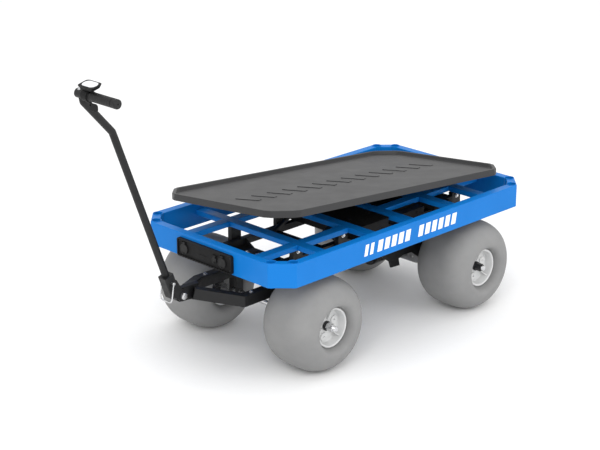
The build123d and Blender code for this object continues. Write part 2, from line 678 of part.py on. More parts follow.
def steer_beam():
    half = STEER_BEAM_SIZE / 2
    beam = hollow_bar("x", -STEER_BEAM_HALF, STEER_BEAM_HALF, FRONT_AXLE_Y - half, FRONT_AXLE_Y + half,
                      STEER_BOTTOM, STEER_TOP, BOX_WALL)
    return beam - rod("z", KINGPIN_R + RUN_FIT, STEER_BOTTOM + BOX_WALL, STEER_TOP, 0, FRONT_AXLE_Y)


def drop_brackets():
    """Folded brackets that hang the front axle under the steering beam."""
    x0, x1 = DROP_X
    half = STEER_BEAM_SIZE / 2
    bottom = AXLE_Z - 2.2 * AXLE_R
    bracket = block(x0, x1, FRONT_AXLE_Y - half, FRONT_AXLE_Y + half, bottom, STEER_BOTTOM)
    bracket -= block(x0 + 6, x1 - 6, FRONT_AXLE_Y - half, FRONT_AXLE_Y + half, bottom, STEER_BOTTOM - 8)
    bracket -= rod("x", AXLE_R, x0, x1, FRONT_AXLE_Y, AXLE_Z)
    return mirrored(bracket)


def front_axle():
    axle = rod("x", AXLE_R, -AXLE_END_X, AXLE_END_X, FRONT_AXLE_Y, AXLE_Z)
    return chamfer(axle.edges().filter_by(GeomType.CIRCLE), 2)


def tongue_arms():
    """Two square tubes that run forward from the steering beam, bend in and rise to the head."""
    bx, by, bz = ARM_BEND
    rear = strut((bx, FRONT_AXLE_Y - STEER_BEAM_SIZE / 2, bz), ARM_BEND, ARM_WIDTH, ARM_HEIGHT, BOX_WALL)
    front = strut(ARM_BEND, ARM_HEAD, ARM_WIDTH, ARM_HEIGHT, BOX_WALL)
    elbow = rod("z", ARM_WIDTH / 2, bz - ARM_HEIGHT / 2, bz + ARM_HEIGHT / 2, bx, by)
    arm = rear + front + elbow
    arm -= block(-LUG_HALF, LUG_HALF, HEAD_Y - 100, by, 0, FRAME_TOP)
    return mirrored(arm)


def head_block():
    """The lug that the handle hinges on, between the ends of the two arms."""
    barrel = rod("x", HEAD_R, -LUG_HALF, LUG_HALF, HEAD_Y, HEAD_Z)
    tail = plate_yz([(HEAD_Y, HEAD_Z - HEAD_R), (ARM_HEAD[1] + 30, HEAD_Z - HEAD_R - 8),
                     (ARM_HEAD[1] + 30, HEAD_Z + HEAD_R - 2), (HEAD_Y, HEAD_Z + HEAD_R)], -LUG_HALF, LUG_HALF)
    return barrel + tail - rod("x", PIVOT_R, -LUG_HALF, LUG_HALF, HEAD_Y, HEAD_Z)


def pivot_bolt():
    ear_outer = LUG_HALF + EAR_THICK + 2 * BODY_GAP
    bolt = rod("x", PIVOT_R, -ear_outer, ear_outer, HEAD_Y, HEAD_Z)
    heads = [rod("x", PIVOT_HEAD_R, *span, HEAD_Y, HEAD_Z)
             for span in ((ear_outer, ear_outer + 10), (-ear_outer - 10, -ear_outer))]
    bolt = bolt + heads[0] + heads[1]
    return chamfer(bolt.edges().filter_by(GeomType.CIRCLE).sort_by(Axis.X)[-1], 2)


# ---- handle -------------------------------------------------------------------------------------------------

def stem_direction():
    return (Vector(*HANDLE_BEND) - Vector(*HANDLE_FOOT)).normalized()


def stem_plane(distance):
    """A plane across the lower stem, a distance up from its foot."""
    along = stem_direction()
    return Plane(origin=Vector(*HANDLE_FOOT) + along * distance, x_dir=(1, 0, 0), z_dir=along)


def handle_path():
    grip_y, grip_z = GRIP_AXIS
    return FilletPolyline(HANDLE_FOOT, HANDLE_BEND, HANDLE_SHOULDER, (0, grip_y, grip_z), radius=12)


def handle_tube():
    """The bent pull tube, with the short handlebar welded across its top."""
    path = handle_path()
    section = Plane(origin=HANDLE_FOOT, z_dir=stem_direction()) * Circle(HANDLE_R)
    stem = sweep(section, path=path)
    bore = Plane(origin=HANDLE_FOOT, z_dir=stem_direction()) * Circle(HANDLE_R - HANDLE_WALL)
    stem -= sweep(bore, path=path)
    grip_y, grip_z = GRIP_AXIS
    bar = rod("x", BAR_R, BAR_START, GRIP_END, grip_y, grip_z)
    clamp = rod("x", HANDLE_R + 3, BAR_START, -BAR_START - 6, grip_y, grip_z)
    bolt = rod("z", 7, grip_z + HANDLE_R, grip_z + HANDLE_R + 8, -5, grip_y)
    return stem + bar + clamp + bolt - lynch_rod()


def handle_socket():
    """The yoke at the handle's foot: a square socket with two ears round the head lug."""
    block_low = -26.0
    body = extrude(stem_plane(block_low) * RectangleRounded(SOCKET_BLOCK, SOCKET_BLOCK, 5), SOCKET_BLOCK_LENGTH)
    body -= extrude(stem_plane(0) * Circle(HANDLE_R), SOCKET_BLOCK_LENGTH)
    inner = LUG_HALF + BODY_GAP
    outer = inner + EAR_THICK
    foot_y, foot_z = HANDLE_FOOT[1], HANDLE_FOOT[2]
    ear = plate_yz([(foot_y - 12, foot_z - 22), (HEAD_Y, HEAD_Z - HEAD_R + 4), (HEAD_Y, HEAD_Z + HEAD_R - 4),
                    (foot_y + 10, foot_z + 34)], inner, outer)
    ear += rod("x", HEAD_R - 4, inner, outer, HEAD_Y, HEAD_Z)
    for side in mirrored(ear):
        body += side
    body -= rod("x", PIVOT_R + RUN_FIT, -outer, outer, HEAD_Y, HEAD_Z)
    body -= rod("x", HEAD_R + 4, -inner, inner, HEAD_Y, HEAD_Z)
    return body - lynch_rod()


def socket_point(x, along, forward):
    """A point given by its place up the lower stem and its distance in front of it."""
    up = stem_direction()
    ahead = Vector(1, 0, 0).cross(up)
    return Vector(*HANDLE_FOOT) + Vector(x, 0, 0) + up * along + ahead * forward


def lynch_rod():
    at = socket_point(0, LYNCH_UP, 0)
    return rod("x", LYNCH_R, -LYNCH_HALF, LYNCH_HALF, at.Y, at.Z)


def lynch_pin():
    """A round pin through the socket with a sprung wire bail that loops round its foot."""
    reach = LYNCH_HALF - LYNCH_WIRE_R
    corners = [socket_point(reach, LYNCH_UP, 0), socket_point(reach, -30, 34),
               socket_point(-reach, -30, 34), socket_point(-reach, LYNCH_UP, 0)]
    path = FilletPolyline(*corners, radius=14)
    start = Plane(origin=corners[0], z_dir=corners[1] - corners[0])
    bail = sweep(start * Circle(LYNCH_WIRE_R), path=path)
    heads = [Pos(*corners[end]) * Sphere(2 * LYNCH_WIRE_R) for end in (0, -1)]
    return lynch_rod() + bail + heads[0] + heads[1]


def grip():
    grip_y, grip_z = GRIP_AXIS
    sleeve = rod("x", GRIP_R, GRIP_START, GRIP_END, grip_y, grip_z)
    sleeve -= rod("x", BAR_R, GRIP_START, GRIP_END, grip_y, grip_z)
    ring = GRIP_END - 16
    sleeve -= rod("x", GRIP_R, ring, ring + 2, grip_y, grip_z) - rod("x", GRIP_R - 1, ring, ring + 2, grip_y, grip_z)
    return sleeve


def grip_cap():
    grip_y, grip_z = GRIP_AXIS
    cap = rod("x", GRIP_R, GRIP_END, GRIP_END + CAP_LENGTH, grip_y, grip_z)
    cap = chamfer(cap.edges().filter_by(GeomType.CIRCLE).sort_by(Axis.X)[-1], 3)
    return cap - rod("x", 2, GRIP_END + 2, GRIP_END + CAP_LENGTH, grip_y, grip_z)


def display_stalk():
    """The foot under the display; its top sits in a pocket in the display's underside."""
    y, z = GRIP_AXIS
    return block(HOUSING_START, HOUSING_END, y - STALK_HALF, y + STALK_HALF, z, DISPLAY_Z - 1)


def throttle_housing():
    grip_y, grip_z = GRIP_AXIS
    body = rod("x", HOUSING_R, HOUSING_START, HOUSING_END, grip_y, grip_z)
    body += display_stalk()
    return body - rod("x", BAR_R, HOUSING_START, HOUSING_END, grip_y, grip_z)


def throttle_lever():
    """A thumb blade on a ring that turns on the handlebar beside the housing."""
    grip_y, grip_z = GRIP_AXIS
    start = HOUSING_END + BODY_GAP
    end = GRIP_START - BODY_GAP
    ring = rod("x", HOUSING_R - 3, start, end, grip_y, grip_z)
    blade = block(start, end + 30, grip_y - 6, grip_y - 1, grip_z - 44, grip_z - GRIP_R - 3)
    blade = fillet(blade.edges().filter_by(Axis.Y), 5)
    neck = block(start, end, grip_y - 6, grip_y - 1, grip_z - 30, grip_z)
    return ring + neck + blade - rod("x", BAR_R + RUN_FIT, start, end, grip_y, grip_z)


def on_display(shape):
    return Pos(DISPLAY_X, GRIP_AXIS[0], DISPLAY_Z) * Rot(DISPLAY_TILT, 0, 0) * shape


def display_housing():
    length, depth, height = DISPLAY_SIZE
    body = Box(length, depth, height)
    body = fillet(body.edges().filter_by(Axis.Z), 9)
    body = chamfer(body.faces().sort_by(Axis.Z)[0].edges(), 4)
    body -= Pos(0, 0, height / 2 - 1) * Box(length - 10, depth - 10, 2)
    return on_display(body) - display_stalk()


def display_glass():
    length, depth, height = DISPLAY_SIZE
    return on_display(Pos(0, 0, height / 2 - 1) * Box(length - 10, depth - 10, 2))


# ---- wheels --------------------------------------------------------------------------------------------------

def wheel_profile(width, radius, bead, bead_r):
    """Half of the balloon tyre's section, from the bead out over the shoulder to the crown."""
    points = [(bead, bead_r + 3), (0.90 * width, bead_r + 7), (0.965 * width, bead_r + 16)]
    for step in (0.975, 0.93, 0.84, 0.70, 0.50, 0.26, 0.0):
        rise = (1 - step ** 3) ** (1 / 2.2)
        points.append((step * width, bead_r + (radius - bead_r) * rise))
    return points


def tyre_at_origin():
    """The balloon tyre, its axis along X and its middle at the origin."""
    bead_out = RIM_HALF_WIDTH - RIM_WALL
    bead_in = bead_out - BEAD_WIDTH
    half = TYRE_WIDTH / 2
    outer = wheel_profile(half, WHEEL_RADIUS, bead_out, RIM_LIP_R)
    inner = wheel_profile(half - TYRE_WALL, WHEEL_RADIUS - TYRE_WALL, bead_in, RIM_LIP_R)
    outer = outer + [(-x, r) for x, r in reversed(outer[:-1])]
    inner = inner + [(-x, r) for x, r in reversed(inner[:-1])]
    edges = [
        Spline(*outer),
        Line(outer[-1], (-bead_out, RIM_BARREL_R)),
        Line((-bead_out, RIM_BARREL_R), (-bead_in, RIM_BARREL_R)),
        Line((-bead_in, RIM_BARREL_R), inner[-1]),
        Spline(*inner),
        Line(inner[0], (bead_in, RIM_BARREL_R)),
        Line((bead_in, RIM_BARREL_R), (bead_out, RIM_BARREL_R)),
        Line((bead_out, RIM_BARREL_R), outer[0]),
    ]
    return revolve(make_face(Curve() + edges), Axis.X)


def rim_at_origin(bore):
    """The moulded rim, outer face towards +X: barrel, lips, web, hub, ribs and screw bosses."""
    rim = rod("x", RIM_BARREL_R, -RIM_HALF_WIDTH, RIM_HALF_WIDTH, 0, 0)
    for side in (-1, 1):
        lip = sorted((side * RIM_HALF_WIDTH, side * (RIM_HALF_WIDTH - RIM_WALL)))
        rim += rod("x", RIM_LIP_R, *lip, 0, 0)
    hollow = RIM_BARREL_R - RIM_WALL
    rim -= rod("x", hollow, -RIM_HALF_WIDTH, WEB_AT, 0, 0)
    rim -= rod("x", hollow, WEB_AT + WEB_THICK, RIM_HALF_WIDTH, 0, 0)
    rim += rod("x", HUB_R, HUB_INNER, HUB_OUTER - 12, 0, 0)
    rim += rod("x", HUB_R - 6, HUB_OUTER - 12, HUB_OUTER, 0, 0)
    for number in range(RIB_COUNT):
        turn = Rot(360.0 / RIB_COUNT * number, 0, 0)
        rib = block(WEB_AT - 34, WEB_AT + 34, -2, 2, HUB_R - 2, RIM_BARREL_R - 1)
        rim += turn * rib
        half_turn = Rot(360.0 / RIB_COUNT * (number + 0.5), 0, 0)
        rim += half_turn * rod("x", 9, WEB_AT, WEB_AT + WEB_THICK + 8, 0, 43)
        rim -= half_turn * rod("x", 3, WEB_AT, WEB_AT + WEB_THICK + 8, 0, 43)
    return rim - rod("x", bore, -RIM_HALF_WIDTH, RIM_HALF_WIDTH, 0, 0)


def at_wheel(shape, side, axle_y):
    """Carry a shape built at the origin, outer face +X, to one of the wheels."""
    if side < 0:
        shape = shape.mirror(Plane.YZ)
    return Pos(side * WHEEL_X, axle_y, AXLE_Z) * shape


def hub_nut_at_origin():
    """A hexagon nut on a broad washer, against the outer end of the hub."""
    start = HUB_OUTER + BODY_GAP
    washer = rod("x", 17, start, start + 10, 0, 0)
    nut = extrude(Plane.YZ.offset(start + 10) * RegularPolygon(15, 6), 26)
    return washer + nut - rod("x", AXLE_R, start, start + 36, 0, 0)


def half_shaft_at_origin():
    """A driven rear shaft, from inside the gearbox out to its threaded end."""
    inner = 12 - WHEEL_X
    outer = AXLE_END_X - WHEEL_X - 8
    shaft = rod("x", AXLE_R, inner, outer, 0, 0)
    return chamfer(shaft.edges().filter_by(GeomType.CIRCLE), 2)


# ---- assembly ------------------------------------------------------------------------------------------------

def build_nodes():
    nodes = {
        "perimeter_frame": perimeter_frame(),
        "stake_sockets": stake_sockets(),
        "cross_bars": cross_bars(),
        "long_bars": long_bars(),
        "chassis_rails": chassis_rails(),
        "deck_legs": [mirrored(leg(y)) for y in LEG_FRONT_Y],
        "chassis_beams": chassis_beams() + [gearbox_beam()],
        "gussets": gussets(),
        "deck_struts": deck_struts(),
        "side_plates": side_plates(),
        "axle_tubes": axle_tubes(),
        "gearbox_housing": gearbox_housing(),
        "motor_can": motor_can(),
        "battery_case": battery_case(),
        "battery_lid": battery_lid(),
        "battery_cells": battery_cells(),
        "controller_case": controller_case(),
        "charger_case": charger_case(),
        "panel_plate": panel_plate(),
        "port_sockets": port_sockets(),
        "tray_hinge_base": tray_hinge_base(),
        "tray_hinge_pin": tray_hinge_pin(),
        "turntable_upper": turntable_upper(),
        "kingpin": kingpin(),
        "turntable_lower": turntable_lower(),
        "steer_beam": steer_beam(),
        "drop_brackets": drop_brackets(),
        "front_axle": front_axle(),
        "tongue_arms": tongue_arms(),
        "head_block": head_block(),
        "pivot_bolt": pivot_bolt(),
        "handle_socket": handle_socket(),
        "handle_tube": handle_tube(),
        "lynch_pin": lynch_pin(),
        "grip": grip(),
        "grip_cap": grip_cap(),
        "throttle_housing": throttle_housing(),
        "throttle_lever": throttle_lever(),
        "display_housing": display_housing(),
        "display_glass": display_glass(),
        "tray_shell": tray_shell(),
        "tray_ribs": tray_ribs(),
        "tray_knuckle": tray_knuckle(),
    }
    for name in PORTS:
        nodes["port_cap_" + name] = port_cap(name)
    tyre = tyre_at_origin()
    nut = hub_nut_at_origin()
    shaft = half_shaft_at_origin()
    rims = {"front": rim_at_origin(AXLE_R + RUN_FIT), "rear": rim_at_origin(AXLE_R)}
    for end, axle_y in (("front", FRONT_AXLE_Y), ("rear", REAR_AXLE_Y)):
        for hand, side in (("left", 1), ("right", -1)):
            place = end + "_" + hand
            nodes["tyre_" + place] = at_wheel(tyre, side, axle_y)
            nodes["rim_" + place] = at_wheel(rims[end], side, axle_y)
            nodes["nut_" + place] = at_wheel(nut, side, axle_y)
            if end == "rear":
                nodes["shaft_" + place] = at_wheel(shaft, side, axle_y)
    return nodes


def centred(nodes):
    """Move everything so that the origin is under the middle of the footprint."""
    shapes = {name: Compound(children=solids_of(shape)) for name, shape in nodes.items()}
    boxes = [shape.bounding_box() for shape in shapes.values()]
    shift_x = -(min(b.min.X for b in boxes) + max(b.max.X for b in boxes)) / 2
    shift_y = -(min(b.min.Y for b in boxes) + max(b.max.Y for b in boxes)) / 2
    shift_z = -min(b.min.Z for b in boxes)
    shift = (shift_x, shift_y, shift_z)
    return {name: Pos(*shift) * shape for name, shape in shapes.items()}, shift


NODES, SHIFT = centred(build_nodes())
os.makedirs("parts", exist_ok=True)
for node_name, node_shape in NODES.items():
    export_step(node_shape, "parts/" + node_name + ".step")
print(len(NODES), "nodes, origin moved by", [round(value, 3) for value in SHIFT])
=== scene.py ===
import json
import math

import bmesh
import bpy
from mathutils import Matrix, Quaternion, Vector


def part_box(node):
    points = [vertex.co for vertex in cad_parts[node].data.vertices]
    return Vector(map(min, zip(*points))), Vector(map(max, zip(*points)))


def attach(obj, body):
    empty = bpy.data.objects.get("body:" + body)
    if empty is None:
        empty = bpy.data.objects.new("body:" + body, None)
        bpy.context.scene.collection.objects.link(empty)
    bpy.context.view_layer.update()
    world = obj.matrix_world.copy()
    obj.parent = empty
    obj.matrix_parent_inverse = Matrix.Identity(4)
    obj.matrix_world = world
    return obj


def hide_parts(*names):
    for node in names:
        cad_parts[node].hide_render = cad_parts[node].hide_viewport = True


# A powered beach cart. Shapes are built in millimetres about the middle of the frame, with the ground
# at z = 0, the handle towards -Y and the cart's left side towards +X. TO_ROW carries them into place.

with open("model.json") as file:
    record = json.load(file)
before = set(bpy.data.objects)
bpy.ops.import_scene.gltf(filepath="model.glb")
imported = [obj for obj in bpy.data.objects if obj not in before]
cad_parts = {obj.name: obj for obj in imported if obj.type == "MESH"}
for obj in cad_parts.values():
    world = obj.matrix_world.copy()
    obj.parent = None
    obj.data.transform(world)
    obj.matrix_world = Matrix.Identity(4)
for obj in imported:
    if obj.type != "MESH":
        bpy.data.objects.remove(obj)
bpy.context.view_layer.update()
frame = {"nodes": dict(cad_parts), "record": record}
band_low, band_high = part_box("perimeter_frame")

MM = 0.001
MIDDLE_Y = (band_low.y + band_high.y) / 2
TO_ROW = Matrix.Translation((0, MIDDLE_Y, 0)) @ Matrix.Scale(MM, 4)
TURN_TO = {
    "X": Matrix.Rotation(math.radians(90), 4, "Y"),
    "Y": Matrix.Rotation(math.radians(-90), 4, "X"),
    "Z": Matrix.Identity(4),
}

# ---- the frame and deck ----
FRAME_HALF_WIDTH = 366.0
FRAME_HALF_LENGTH = 653.0
FRAME_TOP = 453.0
BAND_BOTTOM = 367.0
BAND_WALL = 3.0
BAND_THICK = 33.0
BAND_HEIGHT = FRAME_TOP - BAND_BOTTOM
BAND_TOP_WALL = 4.0
BAND_ROUNDING = 2.4
BAND_SIDE_SKIN = 1.2
FRAME_CHAMFER = 68.0
SOCKET_R = 19.0
SOCKET_BORE_R = 16.0
SOCKET_PROUD = 2.0
SOCKET_TO_CORNER = 6.0
SOCKET_FLOOR = 4.0
SOCKET_DRAIN_R = 4.0
STRIPE_THICK = 0.4
STRIPE_LOW = 391.0
STRIPE_HIGH = 432.0
STRIPE_LEAN = 8.0
STRIPE_GROUPS = ((-256, 1, 16, 26), (-228, 1, 16, 26), (-190, 5, 24, 36), (24, 6, 24, 36))

# ---- wheels ----
WHEEL_R = 171.5
TYRE_HALF = 123.5
BEAD_R = 72.0
BEAD_X = 89.0
WHEEL_X = 271.5
AXLE_Z = WHEEL_R
AXLE_R = 10.0
AXLE_END_X = 384.0
FRONT_AXLE_Y = -411.0
REAR_AXLE_Y = 393.0
HUB_OUTER = 62.0
HUB_INNER = -44.0
NUT_R = 15.0
NUT_START = 72.6
NUT_END = 94.0
THREAD_START = 342.0
LOBE_AT = 41.0

# ---- tongue and handle ----
HEAD_Y = -786.0
HEAD_Z = 300.0
PIVOT_END_X = 33.0
HANDLE_R = 12.7
HANDLE_FOOT = Vector((0.0, -822.0, 330.0))
HANDLE_BEND = Vector((0.0, -1046.0, 930.0))
HANDLE_SHOULDER = Vector((0.0, -1154.0, 1050.0))
GRIP_Y = -1160.0
GRIP_Z = 1078.0
BAR_R = 11.0
BAR_START = -20.0
GRIP_R = 16.0
GRIP_START = 52.0
GRIP_END = 170.0
DISPLAY_MIDDLE = Vector((44.0, GRIP_Y, 1110.0))
DISPLAY_SIZE = (78.0, 48.0, 13.0)
DISPLAY_TILT = math.radians(14)
CLAMP_START = 16.0
CLAMP_END = 44.0
CLAMP_R = 20.0
LEVER_START = 44.4
LEVER_END = 51.6

# ---- tray ----
TRAY_HALF_WIDTH = 316.0
TRAY_HALF_LENGTH = 600.0
TRAY_BOTTOM = 427.5
TRAY_HEIGHT = 24.0
TRAY_CHAMFER = 75.0
TRAY_RIM = 12.0
TRAY_SINK = 12.0
TRAY_CORNER = 15.0
TRAY_SLOPE = 4.0
TRAY_WALL = 3.0
TRAY_PIVOT = Vector((51.5 - TRAY_HALF_WIDTH, TRAY_HALF_LENGTH - 42.0, TRAY_BOTTOM - 10.5))
TRAY_HEADING = math.radians(51.2)
TRAY_AXIS = Vector((-math.cos(TRAY_HEADING), -math.sin(TRAY_HEADING), 0))
TRAY_TILT = math.radians(8)
MARK_PITCH = 76.0
MARK_HALF_LENGTH = 46.0
MARK_HALF_WIDTH = 12.0
MARK_LEAN = math.radians(20)

# ---- bolts on the chassis, and what stands on the cases ----
LEG_FACE_X = 167.0
LEG_START_Y = (-404, -177, 448)
LEG_BOLT_Z = (347, 392)
PLATE_FACE_X = 130.0
PLATE_BOLTS = ((90, 318), (190, 318), (290, 318), (355, 230), (431, 230))
GEARBOX_FACE_X = 58.0
GEARBOX_BOLT_RING = 50.0
BRACKET_FACE_X = 137.0
BRACKET_BOLT_Z = (178, 236)
BEAM_BOLT_X = 118.0
BEAM_BOLT_Y = (-470, -560)
BEAM_TOP = 277.0
LATCH_X = 120.0
LATCH_Y = (-80, 17)

# ---- front panel ----
PANEL_FACE_Y = -665.0
PORT_Z = 402.0
PANEL_SCREW_X = (-134, 122)
PANEL_SCREW_Z = (382, 427)
PORTS = {"left": (84.0, 19.0), "middle": (46.0, 11.0), "right": (-110.0, 19.0)}
CAP_THICK = 5.0

# ---- studio, in metres ----
CAMERA_PLACE = (4.083, -4.019, 2.486)
CAMERA_TURN = (math.radians(70.14), 0, math.radians(45.01))
CAMERA_LENS = 102.1
CAMERA_SENSOR = 36.0
FLOOR_HALF = 30
SKY_STRENGTH = 1.02
LIGHT_TARGET = (0, 0, 0.4)

# =====================================================================================================
# Shapes
# =====================================================================================================


def fresh(bm, old):
    """The vertices made since the set old was taken."""
    return [vert for vert in bm.verts if vert not in old]


def block(bm, x, y, z):
    """A box between three (low, high) ranges."""
    size = [high - low for low, high in (x, y, z)]
    middle = [(high + low) / 2 for low, high in (x, y, z)]
    matrix = Matrix.Translation(middle) @ Matrix.Diagonal((*size, 1))
    return bmesh.ops.create_cube(bm, size=1, matrix=matrix)["verts"]


def rod(bm, axis, radius, start, end, centre, steps):
    """A capped cylinder along an axis through a point."""
    old = set(bm.verts)
    middle = Matrix.Translation((0, 0, (start + end) / 2))
    bmesh.ops.create_cone(bm, cap_ends=True, cap_tris=False, segments=steps, radius1=radius,
                          radius2=radius, depth=end - start, matrix=middle)
    verts = fresh(bm, old)
    bmesh.ops.transform(bm, matrix=Matrix.Translation(centre) @ TURN_TO[axis], verts=verts)
    return verts


def spun(bm, outline, centre, axis="X", steps=64):
    """An (along, radius) outline turned once round an axis through a point."""
    old = set(bm.verts)
    ring = [bm.verts.new((radius, 0, along)) for along, radius in outline]
    pairs = list(zip(ring, ring[1:]))
    if outline[0][1] > 0 or outline[-1][1] > 0:
        pairs.append((ring[-1], ring[0]))
    edges = [bm.edges.new(pair) for pair in pairs]
    bmesh.ops.spin(bm, geom=ring + edges, cent=(0, 0, 0), axis=(0, 0, 1), angle=2 * math.pi,
                   steps=steps, use_merge=True)
    bmesh.ops.remove_doubles(bm, verts=fresh(bm, old), dist=0.001)
    verts = fresh(bm, old)
    bmesh.ops.transform(bm, matrix=Matrix.Translation(centre) @ TURN_TO[axis], verts=verts)
    return verts


def slab(bm, outline, axis, start, end):
    """A plate across an axis; its outline is (y, z) for X, (x, z) for Y and (x, y) for Z."""
    order = {"X": (2, 0, 1), "Y": (0, 2, 1), "Z": (0, 1, 2)}[axis]
    ring = []
    for first, second in outline:
        values = (first, second, start)
        ring.append(bm.verts.new([values[place] for place in order]))
    face = bm.faces.new(ring)
    made = bmesh.ops.extrude_face_region(bm, geom=[face])["geom"]
    raised = [item for item in made if isinstance(item, bmesh.types.BMVert)]
    along = Vector([1.0 if axis == name else 0.0 for name in "XYZ"])
    bmesh.ops.translate(bm, verts=raised, vec=along * (end - start))
    return ring + raised


def rounded_rectangle(low, high, radius, steps=6):
    """The outline of a rectangle between two corners, its corners rounded by arcs."""
    outline = []
    corners = ((high[0], high[1], 0), (low[0], high[1], 90), (low[0], low[1], 180), (high[0], low[1], 270))
    for across, up, start in corners:
        centre_across = across - math.copysign(radius, across - (low[0] + high[0]) / 2)
        centre_up = up - math.copysign(radius, up - (low[1] + high[1]) / 2)
        for step in range(steps + 1):
            turn = math.radians(start + 90 * step / steps)
            outline.append((centre_across + radius * math.cos(turn), centre_up + radius * math.sin(turn)))
    return outline


def rounded_path(points, radius, steps=8):
    """The points of a bent line whose corners are rounded to arcs."""
    path = [Vector(points[0])]
    for before, corner, after in zip(points, points[1:], points[2:]):
        corner = Vector(corner)
        back = (Vector(before) - corner).normalized()
        on = (Vector(after) - corner).normalized()
        half = back.angle(on) / 2
        reach = radius / math.tan(half)
        centre = corner + (back + on).normalized() * radius / math.sin(half)
        arm = corner + back * reach - centre
        turn = arm.angle(corner + on * reach - centre)
        pole = arm.cross(corner + on * reach - centre)
        path += [centre + Quaternion(pole, turn * step / steps) @ arm for step in range(steps + 1)]
    path.append(Vector(points[-1]))
    return path


def swept(bm, path, radius, steps=20):
    """A round bar drawn along a path, closed at both ends."""
    old = set(bm.verts)
    heading = (path[1] - path[0]).normalized()
    turn = Vector((0, 0, 1)).rotation_difference(heading).to_matrix().to_4x4()
    bmesh.ops.create_circle(bm, cap_ends=False, segments=steps, radius=radius,
                            matrix=Matrix.Translation(path[0]) @ turn)
    ring = fresh(bm, old)
    edges = list({edge for vert in ring for edge in vert.link_edges})
    for index, point in enumerate(path[1:], 1):
        made = bmesh.ops.extrude_edge_only(bm, edges=edges)["geom"]
        edges = [item for item in made if isinstance(item, bmesh.types.BMEdge)]
        verts = [item for item in made if isinstance(item, bmesh.types.BMVert)]
        following = path[min(index + 1, len(path) - 1)]
        ahead = (following - path[index - 1]).normalized()
        if index == len(path) - 1:
            ahead = (point - path[index - 1]).normalized()
        bmesh.ops.translate(bm, verts=verts, vec=point - path[index - 1])
        spin = heading.rotation_difference(ahead).to_matrix()
        bmesh.ops.rotate(bm, verts=verts, cent=point, matrix=spin)
        heading = ahead
    verts = fresh(bm, old)
    own = set(verts)
    open_edges = [edge for edge in bm.edges if edge.is_boundary and edge.verts[0] in own]
    bmesh.ops.holes_fill(bm, edges=open_edges, sides=0)
    return verts


def soften(bm, width, verts=None, segments=2, over=35):
    """Round the sharp edges of a closed shape, or only of the part with these vertices."""
    chosen = set(verts if verts is not None else bm.verts)
    others = set(bm.verts) - chosen
    faces = list({face for vert in chosen for face in vert.link_faces})
    bmesh.ops.recalc_face_normals(bm, faces=faces)
    edges = {edge for vert in chosen for edge in vert.link_edges}
    sharp = [edge for edge in edges if len(edge.link_faces) == 2 and edge.calc_length() > 0
             and edge.calc_face_angle() > math.radians(over)]
    bmesh.ops.bevel(bm, geom=sharp, offset=width, offset_type="OFFSET", segments=segments,
                    profile=0.5, affect="EDGES", clamp_overlap=False, material=-1)
    return fresh(bm, others)


def moved(bm, verts, matrix):
    """Carry these vertices by a matrix."""
    bmesh.ops.transform(bm, matrix=matrix, verts=verts)
    return verts


def finished(name, bm, body, finish, sharp_over=35, stands_for=(), facing=True):
    """Turn a shape into a piece of the cart, riding on a body and wearing a finish."""
    bmesh.ops.transform(bm, matrix=TO_ROW, verts=bm.verts)
    if facing:
        bmesh.ops.recalc_face_normals(bm, faces=bm.faces)
    mesh = bpy.data.meshes.new(name)
    bm.to_mesh(mesh)
    bm.free()
    mesh.materials.append(finish)
    mesh.shade_smooth()
    mesh.set_sharp_from_angle(angle=math.radians(sharp_over))
    piece = bpy.data.objects.new(name, mesh)
    bpy.context.scene.collection.objects.link(piece)
    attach(piece, body)
    if stands_for:
        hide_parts(*stands_for)
    evened(piece)
    return piece


def evened(piece):
    """Let the large flat faces set the shading, so that rounded edges don't smear across them."""
    even = piece.modifiers.new("even_shading", "WEIGHTED_NORMAL")
    even.keep_sharp = True
    even.weight = 100


def edged(node, body, finish, width=1.5, shortest=20.0, segments=2, sharp_over=30):
    """A copy of a CAD node with its seams closed and its long straight edges rounded."""
    bm = bmesh.new()
    bm.from_mesh(frame["nodes"][node].data)
    bmesh.ops.transform(bm, matrix=TO_ROW.inverted(), verts=bm.verts)
    bmesh.ops.remove_doubles(bm, verts=bm.verts, dist=0.01)
    bmesh.ops.dissolve_degenerate(bm, edges=bm.edges, dist=0.005)
    bmesh.ops.dissolve_limit(bm, angle_limit=math.radians(0.5), use_dissolve_boundaries=False,
                             verts=bm.verts, edges=bm.edges, delimit={"NORMAL"})
    if width:
        sharp = [edge for edge in bm.edges if len(edge.link_faces) == 2
                 and edge.calc_length() > shortest and edge.calc_face_angle() > math.radians(40)]
        bmesh.ops.bevel(bm, geom=sharp, offset=width, offset_type="OFFSET", segments=segments,
                        profile=0.5, affect="EDGES", clamp_overlap=False, material=-1)
    return finished(node + "_edged", bm, body, finish, sharp_over, (node,), facing=False)


def cut_away(piece, cutter_shape):
    """Take a shape out of a piece for good."""
    bmesh.ops.transform(cutter_shape, matrix=TO_ROW, verts=cutter_shape.verts)
    mesh = bpy.data.meshes.new("cutter")
    cutter_shape.to_mesh(mesh)
    cutter_shape.free()
    cutter = bpy.data.objects.new("cutter", mesh)
    bpy.context.scene.collection.objects.link(cutter)
    piece.modifiers.clear()
    cut = piece.modifiers.new("cut", "BOOLEAN")
    cut.object = cutter
    cut.solver = "EXACT"
    ready = piece.evaluated_get(bpy.context.evaluated_depsgraph_get())
    result = bpy.data.meshes.new_from_object(ready)
    piece.modifiers.clear()
    piece.data = result
    bpy.data.objects.remove(cutter)
    evened(piece)


# =====================================================================================================
# Finishes
# =====================================================================================================


def new_finish(name, **constants):
    """A material whose even values are set on the shader's own sockets."""
    finish = bpy.data.materials.new(name)
    finish.use_nodes = True
    shader = finish.node_tree.nodes["Principled BSDF"]
    for socket, value in constants.items():
        shader.inputs[socket.replace("_", " ")].default_value = value
    return finish


